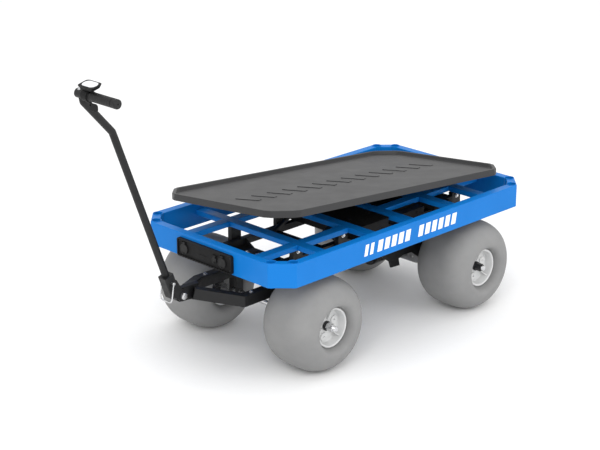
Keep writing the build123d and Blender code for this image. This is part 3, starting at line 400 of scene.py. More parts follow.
def noise(finish, scale, detail=3.0, stretch=(1, 1, 1), roughness=0.55):
    """Noise in the piece's own coordinates, its scale in features to the metre."""
    nodes, links = finish.node_tree.nodes, finish.node_tree.links
    place = nodes.new("ShaderNodeTexCoord")
    mapping = nodes.new("ShaderNodeMapping")
    mapping.inputs["Scale"].default_value = stretch
    texture = nodes.new("ShaderNodeTexNoise")
    texture.inputs["Scale"].default_value = scale
    texture.inputs["Detail"].default_value = detail
    texture.inputs["Roughness"].default_value = roughness
    links.new(place.outputs["Object"], mapping.inputs["Vector"])
    links.new(mapping.outputs["Vector"], texture.inputs["Vector"])
    return texture.outputs["Fac"]


def cells(finish, scale):
    """The pebbled grain of moulded plastic or rubber."""
    nodes, links = finish.node_tree.nodes, finish.node_tree.links
    place = nodes.new("ShaderNodeTexCoord")
    texture = nodes.new("ShaderNodeTexVoronoi")
    texture.feature = "SMOOTH_F1"
    texture.inputs["Scale"].default_value = scale
    links.new(place.outputs["Object"], texture.inputs["Vector"])
    return texture.outputs["Distance"]


def lathe_rings(finish, pitch):
    """Fine turning marks along X, for round metal parts."""
    nodes, links = finish.node_tree.nodes, finish.node_tree.links
    place = nodes.new("ShaderNodeTexCoord")
    texture = nodes.new("ShaderNodeTexWave")
    texture.wave_type = "BANDS"
    texture.bands_direction = "X"
    texture.inputs["Scale"].default_value = 0.3 / pitch
    texture.inputs["Distortion"].default_value = 1.5
    texture.inputs["Detail"].default_value = 2.0
    links.new(place.outputs["Object"], texture.inputs["Vector"])
    return texture.outputs["Fac"]


def tint(finish, fac, dark, light, low=0.35, high=0.65):
    """Let the colour drift between two shades."""
    nodes, links = finish.node_tree.nodes, finish.node_tree.links
    ramp = nodes.new("ShaderNodeValToRGB")
    ramp.color_ramp.elements[0].position = low
    ramp.color_ramp.elements[0].color = (*dark, 1)
    ramp.color_ramp.elements[1].position = high
    ramp.color_ramp.elements[1].color = (*light, 1)
    links.new(fac, ramp.inputs["Fac"])
    links.new(ramp.outputs["Color"], nodes["Principled BSDF"].inputs["Base Color"])


def shine(finish, fac, smooth, rough):
    """Let the roughness drift between two values."""
    nodes, links = finish.node_tree.nodes, finish.node_tree.links
    spread = nodes.new("ShaderNodeMapRange")
    spread.inputs["From Min"].default_value = 0.3
    spread.inputs["From Max"].default_value = 0.7
    spread.inputs["To Min"].default_value = smooth
    spread.inputs["To Max"].default_value = rough
    links.new(fac, spread.inputs["Value"])
    links.new(spread.outputs["Result"], nodes["Principled BSDF"].inputs["Roughness"])


def relief(finish, fac, height, strength=1.0):
    """Raise the surface by a pattern, height in metres, on top of any relief it already has."""
    nodes, links = finish.node_tree.nodes, finish.node_tree.links
    bump = nodes.new("ShaderNodeBump")
    bump.inputs["Strength"].default_value = strength
    bump.inputs["Distance"].default_value = height
    links.new(fac, bump.inputs["Height"])
    normal = nodes["Principled BSDF"].inputs["Normal"]
    if normal.is_linked:
        links.new(normal.links[0].from_socket, bump.inputs["Normal"])
    links.new(bump.outputs["Normal"], normal)


def blue_powder_coat():
    finish = new_finish("frame_blue", Coat_Weight=0.08, Coat_Roughness=0.15, Specular_IOR_Level=0.12)
    tint(finish, noise(finish, 5, 4), (0.002, 0.164, 0.540), (0.004, 0.178, 0.575))
    shine(finish, noise(finish, 70), 0.34, 0.44)
    relief(finish, noise(finish, 900, 1.5), 0.00006, 0.55)
    relief(finish, noise(finish, 160, 2), 0.00010, 0.25)
    return finish


def black_powder_coat():
    finish = new_finish("chassis_black", Specular_IOR_Level=0.35)
    tint(finish, noise(finish, 8, 4), (0.0050, 0.0052, 0.0056), (0.0085, 0.0086, 0.0092))
    shine(finish, noise(finish, 60), 0.42, 0.56)
    relief(finish, noise(finish, 1100, 2), 0.00010, 0.7)
    return finish


def black_case_plastic():
    finish = new_finish("case_black", Specular_IOR_Level=0.15)
    tint(finish, noise(finish, 12, 3), (0.0065, 0.0065, 0.0068), (0.0100, 0.0100, 0.0104))
    shine(finish, noise(finish, 90), 0.48, 0.60)
    relief(finish, cells(finish, 1300), 0.00012, 0.6)
    return finish


def tray_plastic():
    finish = new_finish("tray_plastic", Specular_IOR_Level=0.34)
    tint(finish, noise(finish, 3, 3), (0.026, 0.026, 0.027), (0.030, 0.030, 0.031))
    shine(finish, noise(finish, 12, 3), 0.43, 0.49)
    relief(finish, cells(finish, 700), 0.00008, 0.45)
    return finish


def grey_tyre_rubber():
    finish = new_finish("tyre_grey", Specular_IOR_Level=0.35)
    tint(finish, noise(finish, 9, 5), (0.225, 0.225, 0.225), (0.255, 0.255, 0.253))
    shine(finish, noise(finish, 40, 4), 0.60, 0.74)
    relief(finish, noise(finish, 1300, 2), 0.00012, 0.6)
    relief(finish, noise(finish, 60, 3), 0.00012, 0.25)
    return finish


def grey_rim_plastic():
    finish = new_finish("rim_grey", Specular_IOR_Level=0.5)
    tint(finish, noise(finish, 14, 3), (0.590, 0.595, 0.595), (0.650, 0.652, 0.650))
    shine(finish, noise(finish, 80), 0.34, 0.46)
    relief(finish, noise(finish, 800, 2), 0.00008, 0.5)
    return finish


def bright_steel():
    finish = new_finish("steel_bright", Metallic=1.0)
    tint(finish, noise(finish, 60, 4), (0.560, 0.565, 0.575), (0.680, 0.680, 0.685))
    shine(finish, noise(finish, 220, 3), 0.20, 0.34)
    relief(finish, lathe_rings(finish, 0.0009), 0.00003, 0.5)
    return finish


def black_zinc():
    finish = new_finish("nut_black", Metallic=0.6)
    tint(finish, noise(finish, 90, 4), (0.018, 0.018, 0.020), (0.040, 0.040, 0.043))
    shine(finish, noise(finish, 160), 0.30, 0.46)
    relief(finish, noise(finish, 900, 2), 0.00004, 0.5)
    return finish


def cast_alloy():
    finish = new_finish("gearbox_alloy", Metallic=0.85)
    tint(finish, noise(finish, 25, 5), (0.230, 0.233, 0.240), (0.330, 0.332, 0.338))
    shine(finish, noise(finish, 150), 0.42, 0.60)
    relief(finish, noise(finish, 700, 4), 0.00025, 0.7)
    return finish


def black_rubber():
    finish = new_finish("cap_rubber", Specular_IOR_Level=0.4)
    tint(finish, noise(finish, 30, 4), (0.0070, 0.0070, 0.0072), (0.0110, 0.0110, 0.0114))
    shine(finish, noise(finish, 120), 0.52, 0.68)
    relief(finish, cells(finish, 1700), 0.00010, 0.6)
    return finish


def plated_contact():
    finish = new_finish("contact_alloy", Metallic=1.0)
    tint(finish, noise(finish, 120, 3), (0.560, 0.430, 0.220), (0.700, 0.560, 0.320))
    shine(finish, noise(finish, 200), 0.25, 0.40)
    return finish


def meter_glass():
    finish = new_finish("display_glass", Coat_Weight=1.0, Coat_Roughness=0.03, Specular_IOR_Level=0.8)
    tint(finish, noise(finish, 40, 2), (0.72, 0.74, 0.76), (0.82, 0.83, 0.84))
    shine(finish, noise(finish, 90), 0.05, 0.10)
    return finish


def white_paint():
    finish = new_finish("stripe_white", Specular_IOR_Level=0.5)
    tint(finish, noise(finish, 25, 3), (0.86, 0.87, 0.88), (0.93, 0.93, 0.93))
    shine(finish, noise(finish, 120), 0.38, 0.50)
    relief(finish, noise(finish, 900, 1.5), 0.00005, 0.5)
    return finish


def pale_floor():
    finish = new_finish("floor_pale", Specular_IOR_Level=0.2)
    tint(finish, noise(finish, 40, 3), (0.945, 0.945, 0.945), (0.955, 0.955, 0.955))
    shine(finish, noise(finish, 15), 0.85, 0.90)
    return finish


BLUE = blue_powder_coat()
BLACK = black_powder_coat()
CASE = black_case_plastic()
TRAY = tray_plastic()
TYRE = grey_tyre_rubber()
RIM = grey_rim_plastic()
STEEL = bright_steel()
ZINC = black_zinc()
ALLOY = cast_alloy()
RUBBER = black_rubber()
CONTACT = plated_contact()
GLASS = meter_glass()
STRIPE = white_paint()
FINISH_OF = {
    "frame_blue": BLUE, "chassis_black": BLACK, "case_black": CASE, "tray_plastic": TRAY,
    "tyre_grey": TYRE, "rim_grey": RIM, "steel_bright": STEEL, "nut_black": ZINC,
    "gearbox_alloy": ALLOY, "cap_rubber": RUBBER, "contact_alloy": CONTACT, "display_glass": GLASS,
}


# =====================================================================================================
# Frame and deck
# =====================================================================================================


def cut_corner_outline(half_x, half_y, corner):
    """The eight points of a rectangle whose corners are cut at 45 degrees."""
    return [(half_x, half_y - corner), (half_x - corner, half_y), (corner - half_x, half_y),
            (-half_x, half_y - corner), (-half_x, corner - half_y), (corner - half_x, -half_y),
            (half_x - corner, -half_y), (half_x, corner - half_y)]


def frame_band():
    """The hollow band: a ring drawn down from its top, its underside pushed up to leave thin walls."""
    bm = bmesh.new()
    outline = cut_corner_outline(FRAME_HALF_WIDTH, FRAME_HALF_LENGTH, FRAME_CHAMFER)
    middle = bm.faces.new([bm.verts.new((x, y, FRAME_TOP)) for x, y in outline])
    middle.normal_update()
    bmesh.ops.inset_region(bm, faces=[middle], thickness=BAND_THICK, use_boundary=True,
                           use_even_offset=True)
    bmesh.ops.delete(bm, geom=[middle], context="FACES_ONLY")
    made = bmesh.ops.extrude_face_region(bm, geom=bm.faces[:])["geom"]
    lower = [item for item in made if isinstance(item, bmesh.types.BMVert)]
    bmesh.ops.translate(bm, verts=lower, vec=(0, 0, BAND_BOTTOM - FRAME_TOP))
    soften(bm, BAND_ROUNDING, segments=3, over=30)
    bmesh.ops.recalc_face_normals(bm, faces=bm.faces)
    under = [face for face in bm.faces if face.normal.z < -0.99]
    bmesh.ops.inset_region(bm, faces=under, thickness=BAND_SIDE_SKIN, use_even_offset=True)
    bmesh.ops.translate(bm, verts=list({vert for face in under for vert in face.verts}),
                        vec=(0, 0, BAND_HEIGHT - BAND_TOP_WALL))
    band = finished("frame_band", bm, "chassis", BLUE, 30, ("perimeter_frame",))
    cutter_shape = bmesh.new()
    for x, y in socket_places():
        rod(cutter_shape, "Z", SOCKET_R - 0.2, BAND_BOTTOM - 20, FRAME_TOP + 20, (x, y, 0), 48)
    cut_away(band, cutter_shape)


def deck_bars():
    edged("cross_bars", "chassis", BLUE, width=2.2, shortest=18)
    edged("long_bars", "chassis", BLUE, width=2.2, shortest=18)


def socket_places():
    """The eight stake sockets, two at each cut corner."""
    inset = SOCKET_R + BAND_WALL
    along_side = FRAME_HALF_LENGTH - FRAME_CHAMFER - SOCKET_TO_CORNER
    along_end = FRAME_HALF_WIDTH - FRAME_CHAMFER - SOCKET_TO_CORNER
    for side in (-1, 1):
        for end in (-1, 1):
            yield side * (FRAME_HALF_WIDTH - inset), end * along_side
            yield side * along_end, end * (FRAME_HALF_LENGTH - inset)


def stake_sockets():
    top = FRAME_TOP + SOCKET_PROUD
    floor = BAND_BOTTOM + SOCKET_FLOOR
    outline = [(BAND_BOTTOM, SOCKET_DRAIN_R), (BAND_BOTTOM, SOCKET_R), (top - 1.2, SOCKET_R),
               (top - 0.4, SOCKET_R - 0.4), (top, SOCKET_R - 1.2), (top, SOCKET_BORE_R + 1),
               (top - 1, SOCKET_BORE_R), (floor, SOCKET_BORE_R), (floor, SOCKET_DRAIN_R)]
    bm = bmesh.new()
    for x, y in socket_places():
        spun(bm, outline, (x, y, 0), "Z", 48)
    finished("socket_cups", bm, "chassis", BLUE, stands_for=("stake_sockets",))


def side_stripes():
    """A row of plain slanted stripes along each side of the frame."""
    bm = bmesh.new()
    for side in (-1, 1):
        face = side * FRAME_HALF_WIDTH
        for start, count, width, pitch in STRIPE_GROUPS:
            for number in range(count):
                y = start + number * pitch
                outline = [(y, STRIPE_LOW), (y + width, STRIPE_LOW),
                           (y + width + STRIPE_LEAN, STRIPE_HIGH), (y + STRIPE_LEAN, STRIPE_HIGH)]
                slab(bm, outline, "X", face - side * 0.2, face + side * STRIPE_THICK)
    finished("side_stripes", bm, "chassis", STRIPE)


# =====================================================================================================
# Tray
# =====================================================================================================


def lift():
    """The turn that carries the seated tray up about its corner hinge."""
    turn = Matrix.Rotation(TRAY_TILT, 4, TRAY_AXIS)
    return Matrix.Translation(TRAY_PIVOT) @ turn @ Matrix.Translation(-TRAY_PIVOT)


def tray_moulding():
    """Rolled rim, sloping inner wall and sunken floor, then a wall thickness."""
    outline = cut_corner_outline(TRAY_HALF_WIDTH, TRAY_HALF_LENGTH, TRAY_CHAMFER)
    top = TRAY_BOTTOM + TRAY_HEIGHT
    bm = bmesh.new()
    bm.faces.new([bm.verts.new((across, along, top)) for across, along in outline])
    bmesh.ops.bevel(bm, geom=bm.verts[:], offset=TRAY_CORNER, offset_type="OFFSET", segments=1, profile=0.5,
                    affect="VERTICES", clamp_overlap=False, material=-1)
    skirt_edges = bm.edges[:]
    face = next(iter(bm.faces))
    made = bmesh.ops.extrude_edge_only(bm, edges=skirt_edges)["geom"]
    hem = [item for item in made if isinstance(item, bmesh.types.BMVert)]
    bmesh.ops.translate(bm, verts=hem, vec=(0, 0, -TRAY_HEIGHT))
    bmesh.ops.inset_region(bm, faces=[face], thickness=TRAY_RIM, use_even_offset=True)
    bmesh.ops.inset_region(bm, faces=[face], thickness=TRAY_SLOPE, use_even_offset=True)
    bmesh.ops.translate(bm, verts=face.verts[:], vec=(0, 0, -TRAY_SINK))
    soften(bm, 3.2, segments=3, over=50)
    floor = max(bm.faces, key=lambda each: each.calc_area())
    if floor.normal.z < 0:
        bmesh.ops.reverse_faces(bm, faces=bm.faces)
    moved(bm, bm.verts, lift())
    tray = finished("tray_moulding", bm, "tray", TRAY, 20, ("tray_shell",), facing=False)
    tray.modifiers.clear()
    wall = tray.modifiers.new("wall", "SOLIDIFY")
    wall.thickness = TRAY_WALL * MM
    wall.offset = -1.0
    evened(tray)


def tray_marks():
    """Thirteen slanted raised marks down the middle of the floor, for grip."""
    floor = TRAY_BOTTOM + TRAY_HEIGHT - TRAY_SINK
    bm = bmesh.new()
    for number in range(-6, 7):
        centre = Vector((0, number * MARK_PITCH, floor))
        outline = rounded_rectangle((-MARK_HALF_LENGTH, -MARK_HALF_WIDTH),
                                    (MARK_HALF_LENGTH, MARK_HALF_WIDTH), 3, 3)
        verts = slab(bm, outline, "Z", -0.5, 2.0)
        turn = Matrix.Translation(centre) @ Matrix.Rotation(MARK_LEAN, 4, "Z")
        moved(bm, verts, turn)
        soften(bm, 0.8, verts, 2, over=60)
    moved(bm, bm.verts, lift())
    finished("tray_marks", bm, "tray", TRAY, 30)


def tray_underside():
    edged("tray_ribs", "tray", TRAY, width=0.6, shortest=20, segments=1)
    edged("tray_knuckle", "tray", TRAY, width=1.0, shortest=20)


# =====================================================================================================
# Wheels
# =====================================================================================================


def curve_between(start, first, second, end, steps):
    """Points on a cubic curve, without its last."""
    points = []
    for step in range(steps):
        t = step / steps
        s = 1 - t
        weights = (s ** 3, 3 * s * s * t, 3 * s * t * t, t ** 3)
        places = (start, first, second, end)
        points.append(tuple(sum(w * p[axis] for w, p in zip(weights, places)) for axis in (0, 1)))
    return points


def tyre_outline():
    """The balloon tyre's section: bead, rounded shoulder and flat crown, as an (along, radius) ring."""
    crown = []
    for step in range(24):
        turn = math.radians(16 + (90 - 16) * step / 23)
        crown.append((TYRE_HALF * max(math.cos(turn), 0) ** (2 / 3),
                      BEAD_R + (WHEEL_R - BEAD_R) * math.sin(turn) ** (1 / 1.1)))
    sidewall = curve_between((BEAD_X, BEAD_R + 3), (112, BEAD_R + 3.5), (121.5, 88), crown[0], 12)
    half = sidewall + crown
    other = [(-along, radius) for along, radius in reversed(half[:-1])]
    return half + other + [(-84, 66.3), (84, 66.3)]


def rim_outline():
    """Barrel, lips, web and hub as one ring section, outer face towards positive along."""
    return [
        (HUB_OUTER, 18), (61.5, 22), (60.5, 25), (60, 30), (60, 56), (63, 60), (70, 62), (88, 63.5),
        (91.5, 65), (93, 67.5), (93, 70), (91.5, 71.8), (89, 72), (89, 66), (-89, 66), (-89, 72),
        (-93, 72), (-93, 62), (48, 62), (54, 56), (54, 26), (HUB_INNER, 24), (HUB_INNER, AXLE_R),
        (HUB_OUTER, AXLE_R),
    ]


def round_x(angle, verts, bm):
    """Turn these vertices about the wheel's axis, by degrees."""
    return moved(bm, verts, Matrix.Rotation(math.radians(angle), 4, "X"))


def rim_shape():
    """The moulded rim at the origin: three screw lobes and three fins outside, six ribs inside."""
    bm = bmesh.new()
    soften(bm, 0.9, spun(bm, rim_outline(), (0, 0, 0), "X", 96), 2, over=40)
    for number in range(3):
        lobe = [(56, 3.2), (56, 15.5), (62.5, 15.5), (63.6, 15), (64, 14), (64, 4.2), (63.2, 3.2)]
        round_x(45 + 120 * number, spun(bm, lobe, (0, 0, LOBE_AT), "X", 40), bm)
        fin = [(57, 21), (57, 63), (84, 63), (74, 50), (66, 21)]
        verts = slab(bm, fin, "Y", -1.8, 1.8)
        round_x(105 + 120 * number, verts, bm)
    for number in range(6):
        rib = [(55, 22), (55, 63), (-40, 63), (-30, 22)]
        round_x(30 + 60 * number, slab(bm, rib, "Y", -1.8, 1.8), bm)
    return bm


def at_wheel(bm, side, axle_y):
    """Carry a shape built at the origin, outer face +X, to one of the wheels."""
    matrix = Matrix.Translation((side * WHEEL_X, axle_y, AXLE_Z)) @ Matrix.Diagonal((side, 1, 1, 1))
    bmesh.ops.transform(bm, matrix=matrix, verts=bm.verts)
    return bm


def nut_shape():
    bm = bmesh.new()
    nut = rod(bm, "X", NUT_R, NUT_START, NUT_END, (0, 0, 0), 6)
    soften(bm, 1.1, nut, 2)
    spun(bm, [(NUT_END, 9.5), (NUT_END, 12.6), (97.4, 11.8), (98.2, 9.5)], (0, 0, 0), "X", 40)
    return bm


def washer_shape():
    bm = bmesh.new()
    outline = [(62.4, 9), (62.4, 16.6), (63, 17.4), (69.4, 17.4), (70, 16.8), (70, 14.5),
               (NUT_START, 14), (NUT_START, 9)]
    spun(bm, outline, (0, 0, 0), "X", 56)
    return bm


def flange_shape():
    """The steel flange bolted to the inner end of the hub."""
    bm = bmesh.new()
    outline = [(-47, 12), (-47, 20), (HUB_INNER, 23), (HUB_INNER, 37), (-43, 38), (-40, 38), (-40, 12)]
    spun(bm, outline, (0, 0, 0), "X", 64)
    for number in range(3):
        bolt_head = soften(bm, 0.6, rod(bm, "X", 5.5, HUB_INNER - 4, HUB_INNER, (0, 0, 30), 6), 1)
        round_x(15 + 120 * number, bolt_head, bm)
    return bm


def valve_shape():
    bm = bmesh.new()
    stem = [(57, 0), (57, 5), (60, 5), (63, 3.3), (70, 3.1), (71, 4), (77, 4), (78.5, 3), (78.5, 0)]
    round_x(75, spun(bm, stem, (0, 0, 52), "X", 28), bm)
    return bm


def wheels():
    for end, axle_y in (("front", FRONT_AXLE_Y), ("rear", REAR_AXLE_Y)):
        for hand, side in (("left", 1), ("right", -1)):
            place = end + "_" + hand
            body = "wheel_" + place
            bm = bmesh.new()
            spun(bm, tyre_outline(), (0, 0, 0), "X", 128)
            finished("balloon_tyre_" + place, at_wheel(bm, side, axle_y), body, TYRE, 50,
                     ("tyre_" + place,))
            finished("rim_moulding_" + place, at_wheel(rim_shape(), side, axle_y), body, RIM,
                     30, ("rim_" + place,))
            hub = body if end == "rear" else "front_steer"
            nut_slot, nut_finish = ("nut_black", ZINC) if end == "rear" else ("steel_bright", STEEL)
            finished("hub_nut_" + place, at_wheel(nut_shape(), side, axle_y), hub, nut_finish,
                     stands_for=("nut_" + place,))
            finished("hub_washer_" + place, at_wheel(washer_shape(), side, axle_y), hub,
                     ZINC)
            finished("hub_flange_" + place, at_wheel(flange_shape(), side, axle_y), body,
                     ZINC)
            finished("valve_stem_" + place, at_wheel(valve_shape(), side, axle_y), body,
                     RUBBER)


def thread(start, end, radius, depth=0.7, pitch=2.0):
    """The saw edge of a screw thread, from start to end."""
    points = []
    count = int((end - start) / pitch)
    for number in range(count):
        points.append((start + number * pitch, radius))
        points.append((start + (number + 0.5) * pitch, radius - depth))
    return points


def axles():
    bm = bmesh.new()
    right = thread(THREAD_START, AXLE_END_X - 2, AXLE_R)
    half = [(70, AXLE_R)] + right + [(AXLE_END_X - 2, AXLE_R), (AXLE_END_X, AXLE_R - 2), (AXLE_END_X, 0)]
    outline = [(-along, radius) for along, radius in reversed(half)] + half
    spun(bm, outline, (0, FRONT_AXLE_Y, AXLE_Z), "X", 40)
    finished("front_axle_bar", bm, "front_steer", STEEL, stands_for=("front_axle",))
    for hand, side in (("left", 1), ("right", -1)):
        end = AXLE_END_X - 8
        outline = [(12, 0), (12, AXLE_R - 2), (14, AXLE_R)]
        outline += thread(THREAD_START, end - 2, AXLE_R)
        outline += [(end - 2, AXLE_R), (end, AXLE_R - 2), (end, 0)]
        bm = bmesh.new()
        spun(bm, outline, (0, REAR_AXLE_Y, AXLE_Z), "X", 40)
        moved(bm, bm.verts, Matrix.Diagonal((side, 1, 1, 1)))
        finished("drive_shaft_" + hand, bm, "wheel_rear_" + hand, STEEL,
                 stands_for=("shaft_rear_" + hand,))


# =====================================================================================================
# Handle
# =====================================================================================================


def pull_tube():
    """The bent stem with its handlebar and clamp."""
    bm = bmesh.new()
    stem = [HANDLE_FOOT, HANDLE_BEND, HANDLE_SHOULDER, Vector((0, GRIP_Y, GRIP_Z))]
    swept(bm, rounded_path(stem, 12, 10), HANDLE_R, 32)
    bar = [(BAR_START, 0), (BAR_START, 9.5), (BAR_START + 1.5, BAR_R), (GRIP_END, BAR_R), (GRIP_END, 0)]
    spun(bm, bar, (0, GRIP_Y, GRIP_Z), "X", 40)
    collar = HANDLE_R + 3
    sleeve = [(BAR_START, BAR_R), (BAR_START, collar - 1.5), (BAR_START + 1.5, collar), (12.5, collar),
              (14, collar - 1.5), (14, BAR_R)]
    spun(bm, sleeve, (0, GRIP_Y, GRIP_Z), "X", 48)
    finished("pull_tube", bm, "handle", BLACK, 40, ("handle_tube",))
    bm = bmesh.new()
    screw = [(0, 0), (0, 8.4), (1.6, 8.4), (1.6, 6.8), (6, 6.6), (7.4, 5.2), (7.4, 3), (4.4, 3), (4.4, 0)]
    head = spun(bm, screw, (-5, GRIP_Y, GRIP_Z + HANDLE_R + 1), "Z", 36)
    bmesh.ops.rotate(bm, verts=head, cent=(-5, GRIP_Y, GRIP_Z),
                     matrix=Matrix.Rotation(math.radians(6), 3, "X"))
    finished("clamp_screw", bm, "handle", STEEL)


def stem_point(across, along, ahead):
    """A point by its place up the lower stem and its distance in front of it."""
    up = (HANDLE_BEND - HANDLE_FOOT).normalized()
    return HANDLE_FOOT + Vector((across, 0, 0)) + up * along + Vector((1, 0, 0)).cross(up) * ahead


def lynch_pin():
    """A round pin across the socket with a sprung wire bail."""
    bm = bmesh.new()
    reach = 29.6
    pin_up, bail_up, bail_ahead = 30, -30, 34
    pin = stem_point(0, pin_up, 0)
    spun(bm, [(-32, 0), (-32, 3), (-31, 4), (31, 4), (32, 3), (32, 0)], pin, "X", 24)
    corners = [stem_point(reach, pin_up, 0), stem_point(reach, bail_up, bail_ahead),
               stem_point(-reach, bail_up, bail_ahead), stem_point(-reach, pin_up, 0)]
    swept(bm, rounded_path(corners, 14, 10), 2.4, 14)
    for end in (corners[0], corners[-1]):
        spun(bm, [(-3.4, 0), (-3.4, 4.6), (-2.4, 5.4), (2.4, 5.4), (3.4, 4.6), (3.4, 0)], end, "X", 24)
    finished("lynch_bail", bm, "handle", STEEL, stands_for=("lynch_pin",))


def grip_sleeve():
    """A rubber sleeve with a flared collar, shallow finger rings and a groove near its end."""
    outline = [(GRIP_START, BAR_R), (GRIP_START, GRIP_R), (GRIP_START + 1.2, GRIP_R + 1),
               (GRIP_START + 3.4, GRIP_R + 1), (GRIP_START + 5, GRIP_R - 0.4)]
    for ring in range(10):
        along = GRIP_START + 12 + ring * 8.6
        outline += [(along, GRIP_R - 0.2), (along + 1.0, GRIP_R - 0.7), (along + 2.0, GRIP_R - 0.2)]
    groove = GRIP_END - 16
    outline += [(groove, GRIP_R), (groove + 0.4, GRIP_R - 1.4), (groove + 2.2, GRIP_R - 1.4),
                (groove + 2.6, GRIP_R), (GRIP_END, GRIP_R), (GRIP_END, BAR_R)]
    bm = bmesh.new()
    spun(bm, outline, (0, GRIP_Y, GRIP_Z), "X", 64)
    finished("grip_sleeve", bm, "handle", RUBBER, 40, ("grip",))
    bm = bmesh.new()
    end = GRIP_END + 8
    outline = [(GRIP_END, 0), (GRIP_END, GRIP_R), (end - 3.4, GRIP_R), (end - 1.4, GRIP_R - 0.9),
               (end, GRIP_R - 3), (end, 3), (end - 0.6, 2.2), (end - 5, 2.2), (end - 5, 0)]
    spun(bm, outline, (0, GRIP_Y, GRIP_Z), "X", 64)
    finished("grip_plug", bm, "handle", RUBBER, 40, ("grip_cap",))


def throttle_body():
    """The clamp round the bar, its screw and the stalk up to the meter."""
    bm = bmesh.new()
    ring = [(CLAMP_START, BAR_R), (CLAMP_START, CLAMP_R), (CLAMP_END, CLAMP_R), (CLAMP_END, BAR_R)]
    drum = spun(bm, ring, (0, GRIP_Y, GRIP_Z), "X", 56)
    soften(bm, 1.8, drum, 3)
    stalk = block(bm, (CLAMP_START + 1, CLAMP_END - 1), (GRIP_Y - 9, GRIP_Y + 9),
                  (GRIP_Z + 12, DISPLAY_MIDDLE.z - 4))
    soften(bm, 2.5, stalk, 3)
    ear = block(bm, (CLAMP_START + 4, CLAMP_END - 4), (GRIP_Y + 15, GRIP_Y + 25), (GRIP_Z - 5, GRIP_Z + 5))
    soften(bm, 1.5, ear, 2)
    finished("throttle_body", bm, "handle", CASE, 40, ("throttle_housing",))
    bm = bmesh.new()
    for across in (24.5, 35.5):
        spun(bm, [(0, 0), (0, 3), (2.2, 3), (3, 2.2), (3, 1.4), (1.6, 1.4), (1.6, 0)],
             (across, GRIP_Y + 20, GRIP_Z + 5), "Z", 20)
    finished("throttle_screws", bm, "handle", ZINC)


def thumb_lever():
    bm = bmesh.new()
    outline = [(LEVER_START, BAR_R + 0.1), (LEVER_START, 17), (LEVER_END, 17), (LEVER_END, BAR_R + 0.1)]
    ring = spun(bm, outline, (0, GRIP_Y, GRIP_Z), "X", 48)
    soften(bm, 1.0, ring, 2)
    neck = block(bm, (44.6, 51.4), (GRIP_Y - 6.2, GRIP_Y - 0.8), (GRIP_Z - 30, GRIP_Z - 12))
    soften(bm, 1.0, neck, 2)
    paddle_outline = rounded_rectangle((LEVER_START, GRIP_Z - 44), (81.6, GRIP_Z - 19.5), 9, 8)
    paddle = slab(bm, paddle_outline, "Y", GRIP_Y - 6.2, GRIP_Y - 0.8)
    soften(bm, 1.4, paddle, 3, over=60)
    finished("thumb_lever", bm, "throttle", CASE, 40, ("throttle_lever",))


def on_meter(bm, verts):
    """Tilt a flat shape and carry it to the display."""
    return moved(bm, verts, Matrix.Translation(DISPLAY_MIDDLE) @ Matrix.Rotation(DISPLAY_TILT, 4, "X"))


def meter():
    """The display: a thin tapered body with a bright oval window and one button."""
    length, depth, height = (size / 2 for size in DISPLAY_SIZE)
    bm = bmesh.new()
    body = slab(bm, rounded_rectangle((-length, -depth), (length, depth), 13, 8), "Z", -height, height)
    narrow = 1 - 9 / length
    for vert in body:
        if vert.co.z < 0:
            vert.co.x *= narrow
            vert.co.y *= narrow
    soften(bm, 1.6, body, 3, over=50)
    button = spun(bm, [(height - 1, 0), (height - 1, 3), (height + 0.6, 3), (height + 0.9, 2.4),
                       (height + 0.9, 0)], (0, 0, 0), "Z", 24)
    bmesh.ops.translate(bm, verts=button, vec=(0, 5 - depth, 0))
    on_meter(bm, bm.verts)
    finished("meter_body", bm, "handle", CASE, 40, ("display_housing",))
    bm = bmesh.new()
    low = (8 - length, 9 - depth)
    high = (length - 8, depth - 5)
    pane = slab(bm, rounded_rectangle(low, high, (high[1] - low[1]) / 2 - 0.5, 12), "Z",
                height - 1.6, height + 0.3)
    soften(bm, 0.35, pane, 2, over=60)
    on_meter(bm, bm.verts)
    finished("meter_window", bm, "handle", GLASS, 40, ("display_glass",))


# =====================================================================================================
# Chassis, steering and power units
# =====================================================================================================


def chassis_steel():
    for node, width in (("chassis_rails", 2.0), ("deck_legs", 2.0), ("chassis_beams", 2.0),
                        ("gussets", 1.0), ("deck_struts", 1.5), ("side_plates", 1.2),
                        ("turntable_upper", 0), ("axle_tubes", 0), ("tray_hinge_base", 1.0)):
        edged(node, "chassis", BLACK, width)
    for node, width in (("steer_beam", 2.5), ("drop_brackets", 1.5), ("tongue_arms", 3.0),
                        ("head_block", 2.0), ("turntable_lower", 0)):
        edged(node, "front_steer", BLACK, width)
    edged("handle_socket", "handle", BLACK, 1.6, 16)


def bolt(bm, place, axis, outward, radius=6.5, height=4.5):
    """A hexagon bolt head on a washer, its axis X, Y or Z and its head facing outward (+1 or -1)."""
    along = "XYZ".index(axis)
    centre = Vector(place)
    start = centre[along]
    centre[along] = 0
    washer = sorted((start, start + outward * 1.2))
    head = sorted((start + outward * 1.2, start + outward * (1.2 + height)))
    rod(bm, axis, radius * 1.35, *washer, centre, 28)
    verts = rod(bm, axis, radius, *head, centre, 6)
    soften(bm, 0.7, verts, 1)


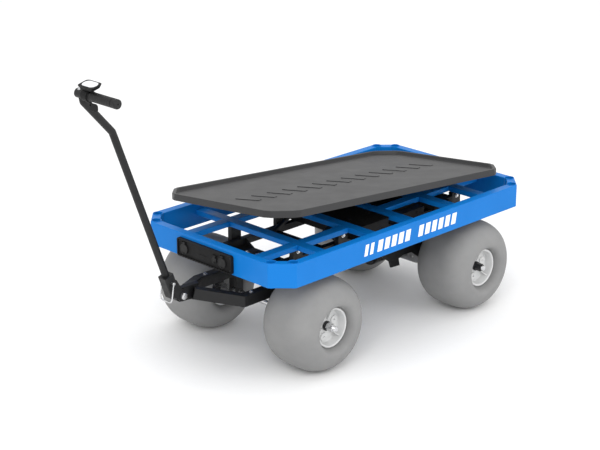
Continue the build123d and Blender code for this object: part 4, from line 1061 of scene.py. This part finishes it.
def chassis_bolts():
    """Bolts through the deck legs, side plates and gearbox."""
    bm = bmesh.new()
    for side in (-1, 1):
        for leg_y in LEG_START_Y:
            for z in LEG_BOLT_Z:
                bolt(bm, (side * LEG_FACE_X, leg_y + 24, z), "X", side)
        for y, z in PLATE_BOLTS:
            bolt(bm, (side * PLATE_FACE_X, y, z), "X", side)
        bolt(bm, (side * 60, -411, 334), "Z", 1)
        for number in range(6):
            turn = math.radians(30 + 60 * number)
            place = (side * GEARBOX_FACE_X, REAR_AXLE_Y + GEARBOX_BOLT_RING * math.cos(turn),
                     AXLE_Z + GEARBOX_BOLT_RING * math.sin(turn))
            bolt(bm, place, "X", side, 3.6, 2.6)
    finished("chassis_bolts", bm, "chassis", STEEL)
    bm = bmesh.new()
    for side in (-1, 1):
        for z in BRACKET_BOLT_Z:
            bolt(bm, (side * BRACKET_FACE_X, FRONT_AXLE_Y + 11, z), "X", side, 4.6, 3.4)
        for y in BEAM_BOLT_Y:
            bolt(bm, (side * BEAM_BOLT_X, y, BEAM_TOP), "Z", 1, 6, 4)
    finished("steering_bolts", bm, "front_steer", STEEL)


def head_pivot():
    """The pivot bolt with its domed ends and the dark bushes beneath them."""
    bm = bmesh.new()
    end = PIVOT_END_X
    half = [(23.5, 8), (23.6, 12), (end - 2.4, 12), (end - 0.8, 11), (end, 9), (end, 0)]
    outline = [(-along, radius) for along, radius in reversed(half)] + half
    spun(bm, outline, (0, HEAD_Y, HEAD_Z), "X", 40)
    finished("pivot_pin", bm, "front_steer", STEEL, stands_for=("pivot_bolt",))
    bm = bmesh.new()
    for side in (-1, 1):
        outline = [(side * 22.6, 8.2), (side * 22.6, 15.4), (side * 24.6, 15), (side * 25.6, 13.6),
                   (side * 25.6, 12.1)]
        spun(bm, outline, (0, HEAD_Y, HEAD_Z), "X", 40)
    finished("pivot_bushes", bm, "front_steer", ZINC)


def kingpin():
    bm = bmesh.new()
    spun(bm, [(244, 0), (244, 11), (334, 11), (334, 17), (340.5, 17), (342, 15.5), (342, 0)],
         (0, FRONT_AXLE_Y, 0), "Z", 40)
    finished("kingpin_bolt", bm, "chassis", STEEL, stands_for=("kingpin",))


def tray_pin():
    bm = bmesh.new()
    spun(bm, [(-40.3, 0), (-40.3, 3.2), (-39.5, 4), (38.3, 4), (38.3, 7), (40.5, 7), (41.3, 6), (41.3, 0)],
         (0, 0, 0), "X", 28)
    moved(bm, bm.verts, Matrix.Translation(TRAY_PIVOT) @ Matrix.Rotation(TRAY_HEADING, 4, "Z"))
    finished("tray_hinge_bolt", bm, "chassis", STEEL, stands_for=("tray_hinge_pin",))


def power_units():
    edged("battery_case", "chassis", CASE, 1.5)
    edged("battery_lid", "chassis", CASE, 1.2)
    edged("controller_case", "chassis", CASE, 1.5)
    edged("charger_case", "chassis", CASE, 1.5)
    edged("gearbox_housing", "chassis", ALLOY, 2.0)
    edged("motor_can", "chassis", BLACK, 0)
    bm = bmesh.new()
    for side in (-1, 1):
        for y in LATCH_Y:
            latch = block(bm, (side * LATCH_X - 14, side * LATCH_X + 14), (y - 6, y + 6), (423, 425.5))
            soften(bm, 0.8, latch, 2)
    for x in range(-150, 151, 30):
        fin = block(bm, (x - 1.5, x + 1.5), (125, 249), (405, 412))
        soften(bm, 0.6, fin, 1)
    finished("case_details", bm, "chassis", CASE)


# =====================================================================================================
# Front panel
# =====================================================================================================


def front_panel():
    edged("panel_plate", "chassis", CASE, 1.2, 18)
    bm = bmesh.new()
    for x in PANEL_SCREW_X:
        for z in PANEL_SCREW_Z:
            outline = [(-0.2, 0), (-0.2, 2.9), (-1.4, 2.7), (-2, 2), (-2, 1.3), (-1.2, 1.3), (-1.2, 0)]
            spun(bm, outline, (x, PANEL_FACE_Y + CAP_THICK, z), "Y", 20)
    finished("panel_screws", bm, "chassis", ZINC)


def port_caps():
    """Round flip-up caps with a turned face, a hinge tab above and a finger lip below."""
    back = PANEL_FACE_Y + CAP_THICK - 0.3
    front = back - CAP_THICK
    for name, (x, radius) in PORTS.items():
        hinge_z = PORT_Z + radius + 4
        hinge_y = PANEL_FACE_Y + CAP_THICK - 3.1
        bm = bmesh.new()
        outline = [(0, 0), (0, radius), (-3.9, radius), (-4.7, radius - 0.5), (-5, radius - 1.4),
                   (-5, radius - 3), (-4.2, radius - 3.6), (-4.2, radius * 0.5), (-4.6, radius * 0.4),
                   (-4.6, 0)]
        spun(bm, outline, (x, back, PORT_Z), "Y", 56)
        tab = block(bm, (x - 4, x + 4), (front + 1, back), (PORT_Z + radius - 3, hinge_z))
        soften(bm, 0.6, tab, 2)
        barrel = [(-6, 1.3), (-6, 2.2), (-5.4, 2.8), (5.4, 2.8), (6, 2.2), (6, 1.3)]
        spun(bm, barrel, (x, hinge_y, hinge_z), "X", 24)
        lip = block(bm, (x - 4, x + 4), (front - 3, front + 0.5),
                    (PORT_Z - radius + 1, PORT_Z - radius + 5))
        soften(bm, 0.8, lip, 2)
        finished("flip_cap_" + name, bm, "cap_" + name, RUBBER, 35, ("port_cap_" + name,))


# =====================================================================================================
# Studio
# =====================================================================================================


def studio_floor():
    bm = bmesh.new()
    bmesh.ops.create_grid(bm, x_segments=8, y_segments=8, size=FLOOR_HALF)
    mesh = bpy.data.meshes.new("studio_floor")
    bm.to_mesh(mesh)
    bm.free()
    mesh.materials.append(pale_floor())
    floor = bpy.data.objects.new("studio_floor", mesh)
    bpy.context.scene.collection.objects.link(floor)


def softbox(name, place, size, power):
    """A soft rectangular light turned towards the cart."""
    light = bpy.data.lights.new(name, "AREA")
    light.shape = "RECTANGLE"
    light.size, light.size_y = size
    light.energy = power
    lamp = bpy.data.objects.new(name, light)
    lamp.location = place
    lamp.rotation_euler = (Vector(LIGHT_TARGET) - Vector(place)).to_track_quat("-Z", "Y").to_euler()
    bpy.context.scene.collection.objects.link(lamp)


def studio_light():
    world = bpy.data.worlds.new("studio")
    world.use_nodes = True
    sky = world.node_tree.nodes["Background"]
    sky.inputs["Color"].default_value = (1, 1, 1, 1)
    sky.inputs["Strength"].default_value = SKY_STRENGTH
    bpy.context.scene.world = world
    softbox("key_softbox", (3.4, -4.2, 4.2), (3.0, 3.0), 120)
    softbox("side_softbox", (5.0, 1.8, 2.2), (2.5, 2.5), 45)
    softbox("top_softbox", (-0.5, 1.0, 5.0), (4.0, 4.0), 35)
    bpy.context.scene.view_settings.view_transform = "Standard"


def camera():
    data = bpy.data.cameras.new("camera")
    data.lens = CAMERA_LENS
    data.sensor_width = CAMERA_SENSOR
    data.clip_end = 200.0
    seat = bpy.data.objects.new("camera", data)
    seat.location = CAMERA_PLACE
    seat.rotation_euler = CAMERA_TURN
    bpy.context.scene.collection.objects.link(seat)
    bpy.context.scene.camera = seat


def dress_cad():
    """Give every CAD node that still shows the finish of its own slot."""
    for part in frame["record"]["subparts"]:
        mesh = frame["nodes"][part["node"]].data
        mesh.materials.clear()
        mesh.materials.append(FINISH_OF[part["material_slot"]])


frame_band()
deck_bars()
stake_sockets()
side_stripes()
tray_moulding()
tray_marks()
tray_underside()
wheels()
axles()
pull_tube()
lynch_pin()
grip_sleeve()
throttle_body()
thumb_lever()
meter()
chassis_steel()
chassis_bolts()
head_pivot()
kingpin()
tray_pin()
power_units()
front_panel()
port_caps()
dress_cad()
studio_floor()
studio_light()
camera()
